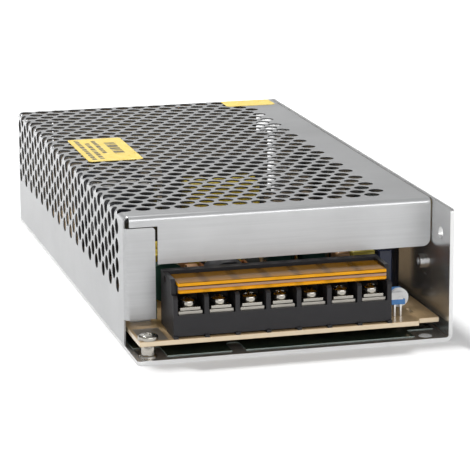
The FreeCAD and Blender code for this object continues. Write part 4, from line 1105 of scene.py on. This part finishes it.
class SUPPLY_OT_inside(bpy.types.Operator):
    """Power parts and small parts inside the case"""

    bl_idname = "supply.inside"
    bl_label = "Inside parts"

    def execute(self, context):
        copper = rolled_metal("enamelled wire", context.scene.supply_finishes.copper, 0.28, 0.00001)
        tinned = rolled_metal("tinned inside", (0.72, 0.71, 0.69), 0.32)
        dark_case = moulded("device case", (0.02, 0.02, 0.022), 0.35)
        black_sleeve = moulded("black sleeve", (0.02, 0.022, 0.03), 0.22, fixed={"Coat Weight": 0.4})
        ferrite = moulded("ferrite", (0.035, 0.035, 0.04), 0.6, grain=1400)
        tape = moulded("yellow tape", (0.70, 0.52, 0.06), 0.3, fixed={"Coat Weight": 0.3})
        lacquer = moulded("resistor lacquer", (0.42, 0.30, 0.16), 0.4)
        plain = {
            "varistor": (0.5, "green_disc", moulded("green lacquer", (0.02, 0.07, 0.045), 0.35)),
            "thermistor": (0.4, "dark_disc", moulded("dark lacquer", (0.02, 0.025, 0.02), 0.45)),
            "earth_capacitors": (0.4, "tan_disc", moulded("tan lacquer", (0.40, 0.20, 0.08), 0.4)),
            "suppression_capacitors": (0.5, "yellow_case", moulded("yellow case", (0.62, 0.46, 0.04), 0.4)),
            "bridge_rectifier": (0.3, "device_case", dark_case),
            "tan_capacitor": (0.8, "tan_case", moulded("tan case", (0.36, 0.20, 0.09), 0.4)),
            "yellow_capacitor": (0.5, "yellow_case", moulded("olive case", (0.42, 0.34, 0.05), 0.4)),
            "blue_capacitor": (0.5, "blue_case", moulded("blue black case", (0.01, 0.016, 0.045), 0.25)),
            "control_chip": (0.15, "device_case", dark_case),
            "output_rectifiers": (0.15, "device_case", dark_case),
            "switch_transistors": (0.15, "device_case", dark_case),
            "power_resistors": (0.3, "resistor_body", lacquer),
            "small_resistors": (0.15, "resistor_body", lacquer),
            "insulating_pads": (0.05, "pad_rubber", moulded("grey pad", (0.30, 0.35, 0.37), 0.6)),
            "clamp_bars": (0.2, "tinned_metal", tinned),
            "fuse_clips": (0.1, "tinned_metal", tinned),
            "transformer_core": (0.5, "dark_ferrite", ferrite),
            "transformer_winding": (0.8, "yellow_tape", tape),
            "drive_core": (0.4, "dark_ferrite", ferrite),
            "drive_winding": (0.6, "yellow_tape", tape),
            "filter_choke_core": (0.4, "dark_ferrite", ferrite),
            "output_choke_core": (0.4, "yellow_ring", moulded("yellow ring", (0.46, 0.40, 0.10), 0.5)),
        }
        for node, (edge, slot, material) in plain.items():
            dress(node, edge, material)
        self.fuse()
        self.windings(copper)
        green = moulded("green sleeve", (0.015, 0.045, 0.035), 0.2, fixed={"Coat Weight": 0.4})
        for node, slot, sleeve in (("bulk_capacitors", "bulk_sleeve", black_sleeve),
                                   ("side_capacitor", "black_sleeve", black_sleeve),
                                   ("small_capacitors", "black_sleeve", black_sleeve),
                                   ("output_capacitors", "green_sleeve", green)):
            self.cans(node, slot, sleeve, tinned)
        return {"FINISHED"}

    def cans(self, node, slot, sleeve, metal):
        """Round cans where the solid's own islands stand, with a rolled neck and a scored top."""
        parts, tops = [], {}
        for low, high in islands(node):
            radius = (high.x - low.x) / 2
            middle = (low + high) / 2
            foot, top = low.z, high.z
            neck = foot + (top - foot) * 0.1
            tops[round(top, 6)] = radius
            profile = [(0, foot), (radius * 0.9, foot), (radius, foot + radius * 0.1), (radius, neck - radius * 0.12),
                       (radius * 0.94, neck), (radius, neck + radius * 0.12), (radius, top - radius * 0.08),
                       (radius * 0.95, top), (radius * 0.85, top - radius * 0.02), (radius * 0.8, top - radius * 0.07),
                       (radius * 0.1, top - radius * 0.07), (0, top - radius * 0.09)]
            parts.append(moved(lathe(profile, 40), (middle.x, middle.y, 0)))
        mesh = sharp_mesh(node, gather(parts), sleeve, 30)
        mesh.materials.append(metal)
        for face in mesh.polygons:
            for top, radius in tops.items():
                if abs(face.center.z - top) < radius * 0.075 and face.normal.z > 0.9:
                    face.material_index = 1
        seat(node + "_cans", mesh, replaced=(node,))

    def windings(self, copper):
        """Single layers of wire laid round the ring cores, turn by turn."""
        for node, turns, wire, bore in (("filter_choke_winding", 13, 0.5, 0.435),
                                        ("output_choke_winding", 15, 0.55, 0.5)):
            low, high = (Vector(end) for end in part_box(node))
            centre = (low + high) / 2
            outer, depth = (high.x - low.x) / 2, (high.y - low.y) / 2
            inner = outer * bore
            parts = []
            for side in (0, math.pi):
                for i in range(turns):
                    angle = side - 0.62 + 1.24 * i / (turns - 1)
                    parts.append(self.turn(centre, angle, inner, outer, depth, wire * MM))
            seat(node + "_turns", sharp_mesh(node, gather(parts), copper, 60), replaced=(node,))

    def turn(self, centre, angle, inner, outer, depth, wire):
        """One loop of wire round the ring's section, in the plane through its axis."""
        way = Vector((math.cos(angle), 0, math.sin(angle)))
        section = rounded([(inner + wire, -depth + wire), (outer - wire, -depth + wire),
                           (outer - wire, depth - wire), (inner + wire, depth - wire)], wire * 1.6, 3)
        path = [centre + way * p.x + Vector((0, p.y, 0)) for p in section]
        return wire_loop(path, wire)

    def fuse(self):
        """The glass tube of the fuse."""
        glass = Paint("fuse glass", {"Transmission Weight": 0.9, "IOR": 1.45})
        cloud = glass.noise(200, 2)
        glass.colour(glass.ramp(cloud, (0.85, 0.88, 0.88), (0.92, 0.94, 0.94)))
        glass.roughness(cloud, 0.04, 0.1)
        dress("fuse_tube", 0.1, glass.material)


def islands(node):
    """Lowest and highest corner of each solid of a node."""
    work = bmesh.new()
    work.from_mesh(SOLIDS[node].data)
    bmesh.ops.remove_doubles(work, verts=work.verts, dist=SAME_PLACE)
    seen, boxes = set(), []
    for start in work.verts:
        if start in seen:
            continue
        queue, members = [start], []
        seen.add(start)
        while queue:
            vert = queue.pop()
            members.append(vert.co.copy())
            for edge in vert.link_edges:
                other = edge.other_vert(vert)
                if other not in seen:
                    seen.add(other)
                    queue.append(other)
        low = Vector([min(m[k] for m in members) for k in range(3)])
        high = Vector([max(m[k] for m in members) for k in range(3)])
        boxes.append((low, high))
    work.free()
    return boxes


class SUPPLY_PT_sidebar(bpy.types.Panel):
    """The operators and the sizes of the power supply"""

    bl_idname = "SUPPLY_PT_sidebar"
    bl_label = "Power supply"
    bl_space_type = "VIEW_3D"
    bl_region_type = "UI"
    bl_category = "Power supply"

    def draw(self, context):
        column = self.layout.column()
        for group in (context.scene.supply_sheet, context.scene.supply_finishes):
            for word in group.__annotations__:
                column.prop(group, word)
        for operator in OPERATORS:
            column.operator(operator.bl_idname)


OPERATORS = (SUPPLY_OT_stage, SUPPLY_OT_cover, SUPPLY_OT_chassis, SUPPLY_OT_stickers, SUPPLY_OT_terminals,
             SUPPLY_OT_lid, SUPPLY_OT_trimmer, SUPPLY_OT_fixings, SUPPLY_OT_inside)
CLASSES = (SUPPLY_PG_sheet, SUPPLY_PG_finishes, *OPERATORS, SUPPLY_PT_sidebar)


def register():
    for kind in CLASSES:
        bpy.utils.register_class(kind)
    bpy.types.Scene.supply_sheet = PointerProperty(type=SUPPLY_PG_sheet)
    bpy.types.Scene.supply_finishes = PointerProperty(type=SUPPLY_PG_finishes)


def unregister():
    del bpy.types.Scene.supply_finishes
    del bpy.types.Scene.supply_sheet
    for kind in reversed(CLASSES):
        bpy.utils.unregister_class(kind)


def main():
    register()
    for operator in OPERATORS:
        group, word = operator.bl_idname.split(".")
        getattr(getattr(bpy.ops, group), word)()


if __name__ == "__main__":
    main()
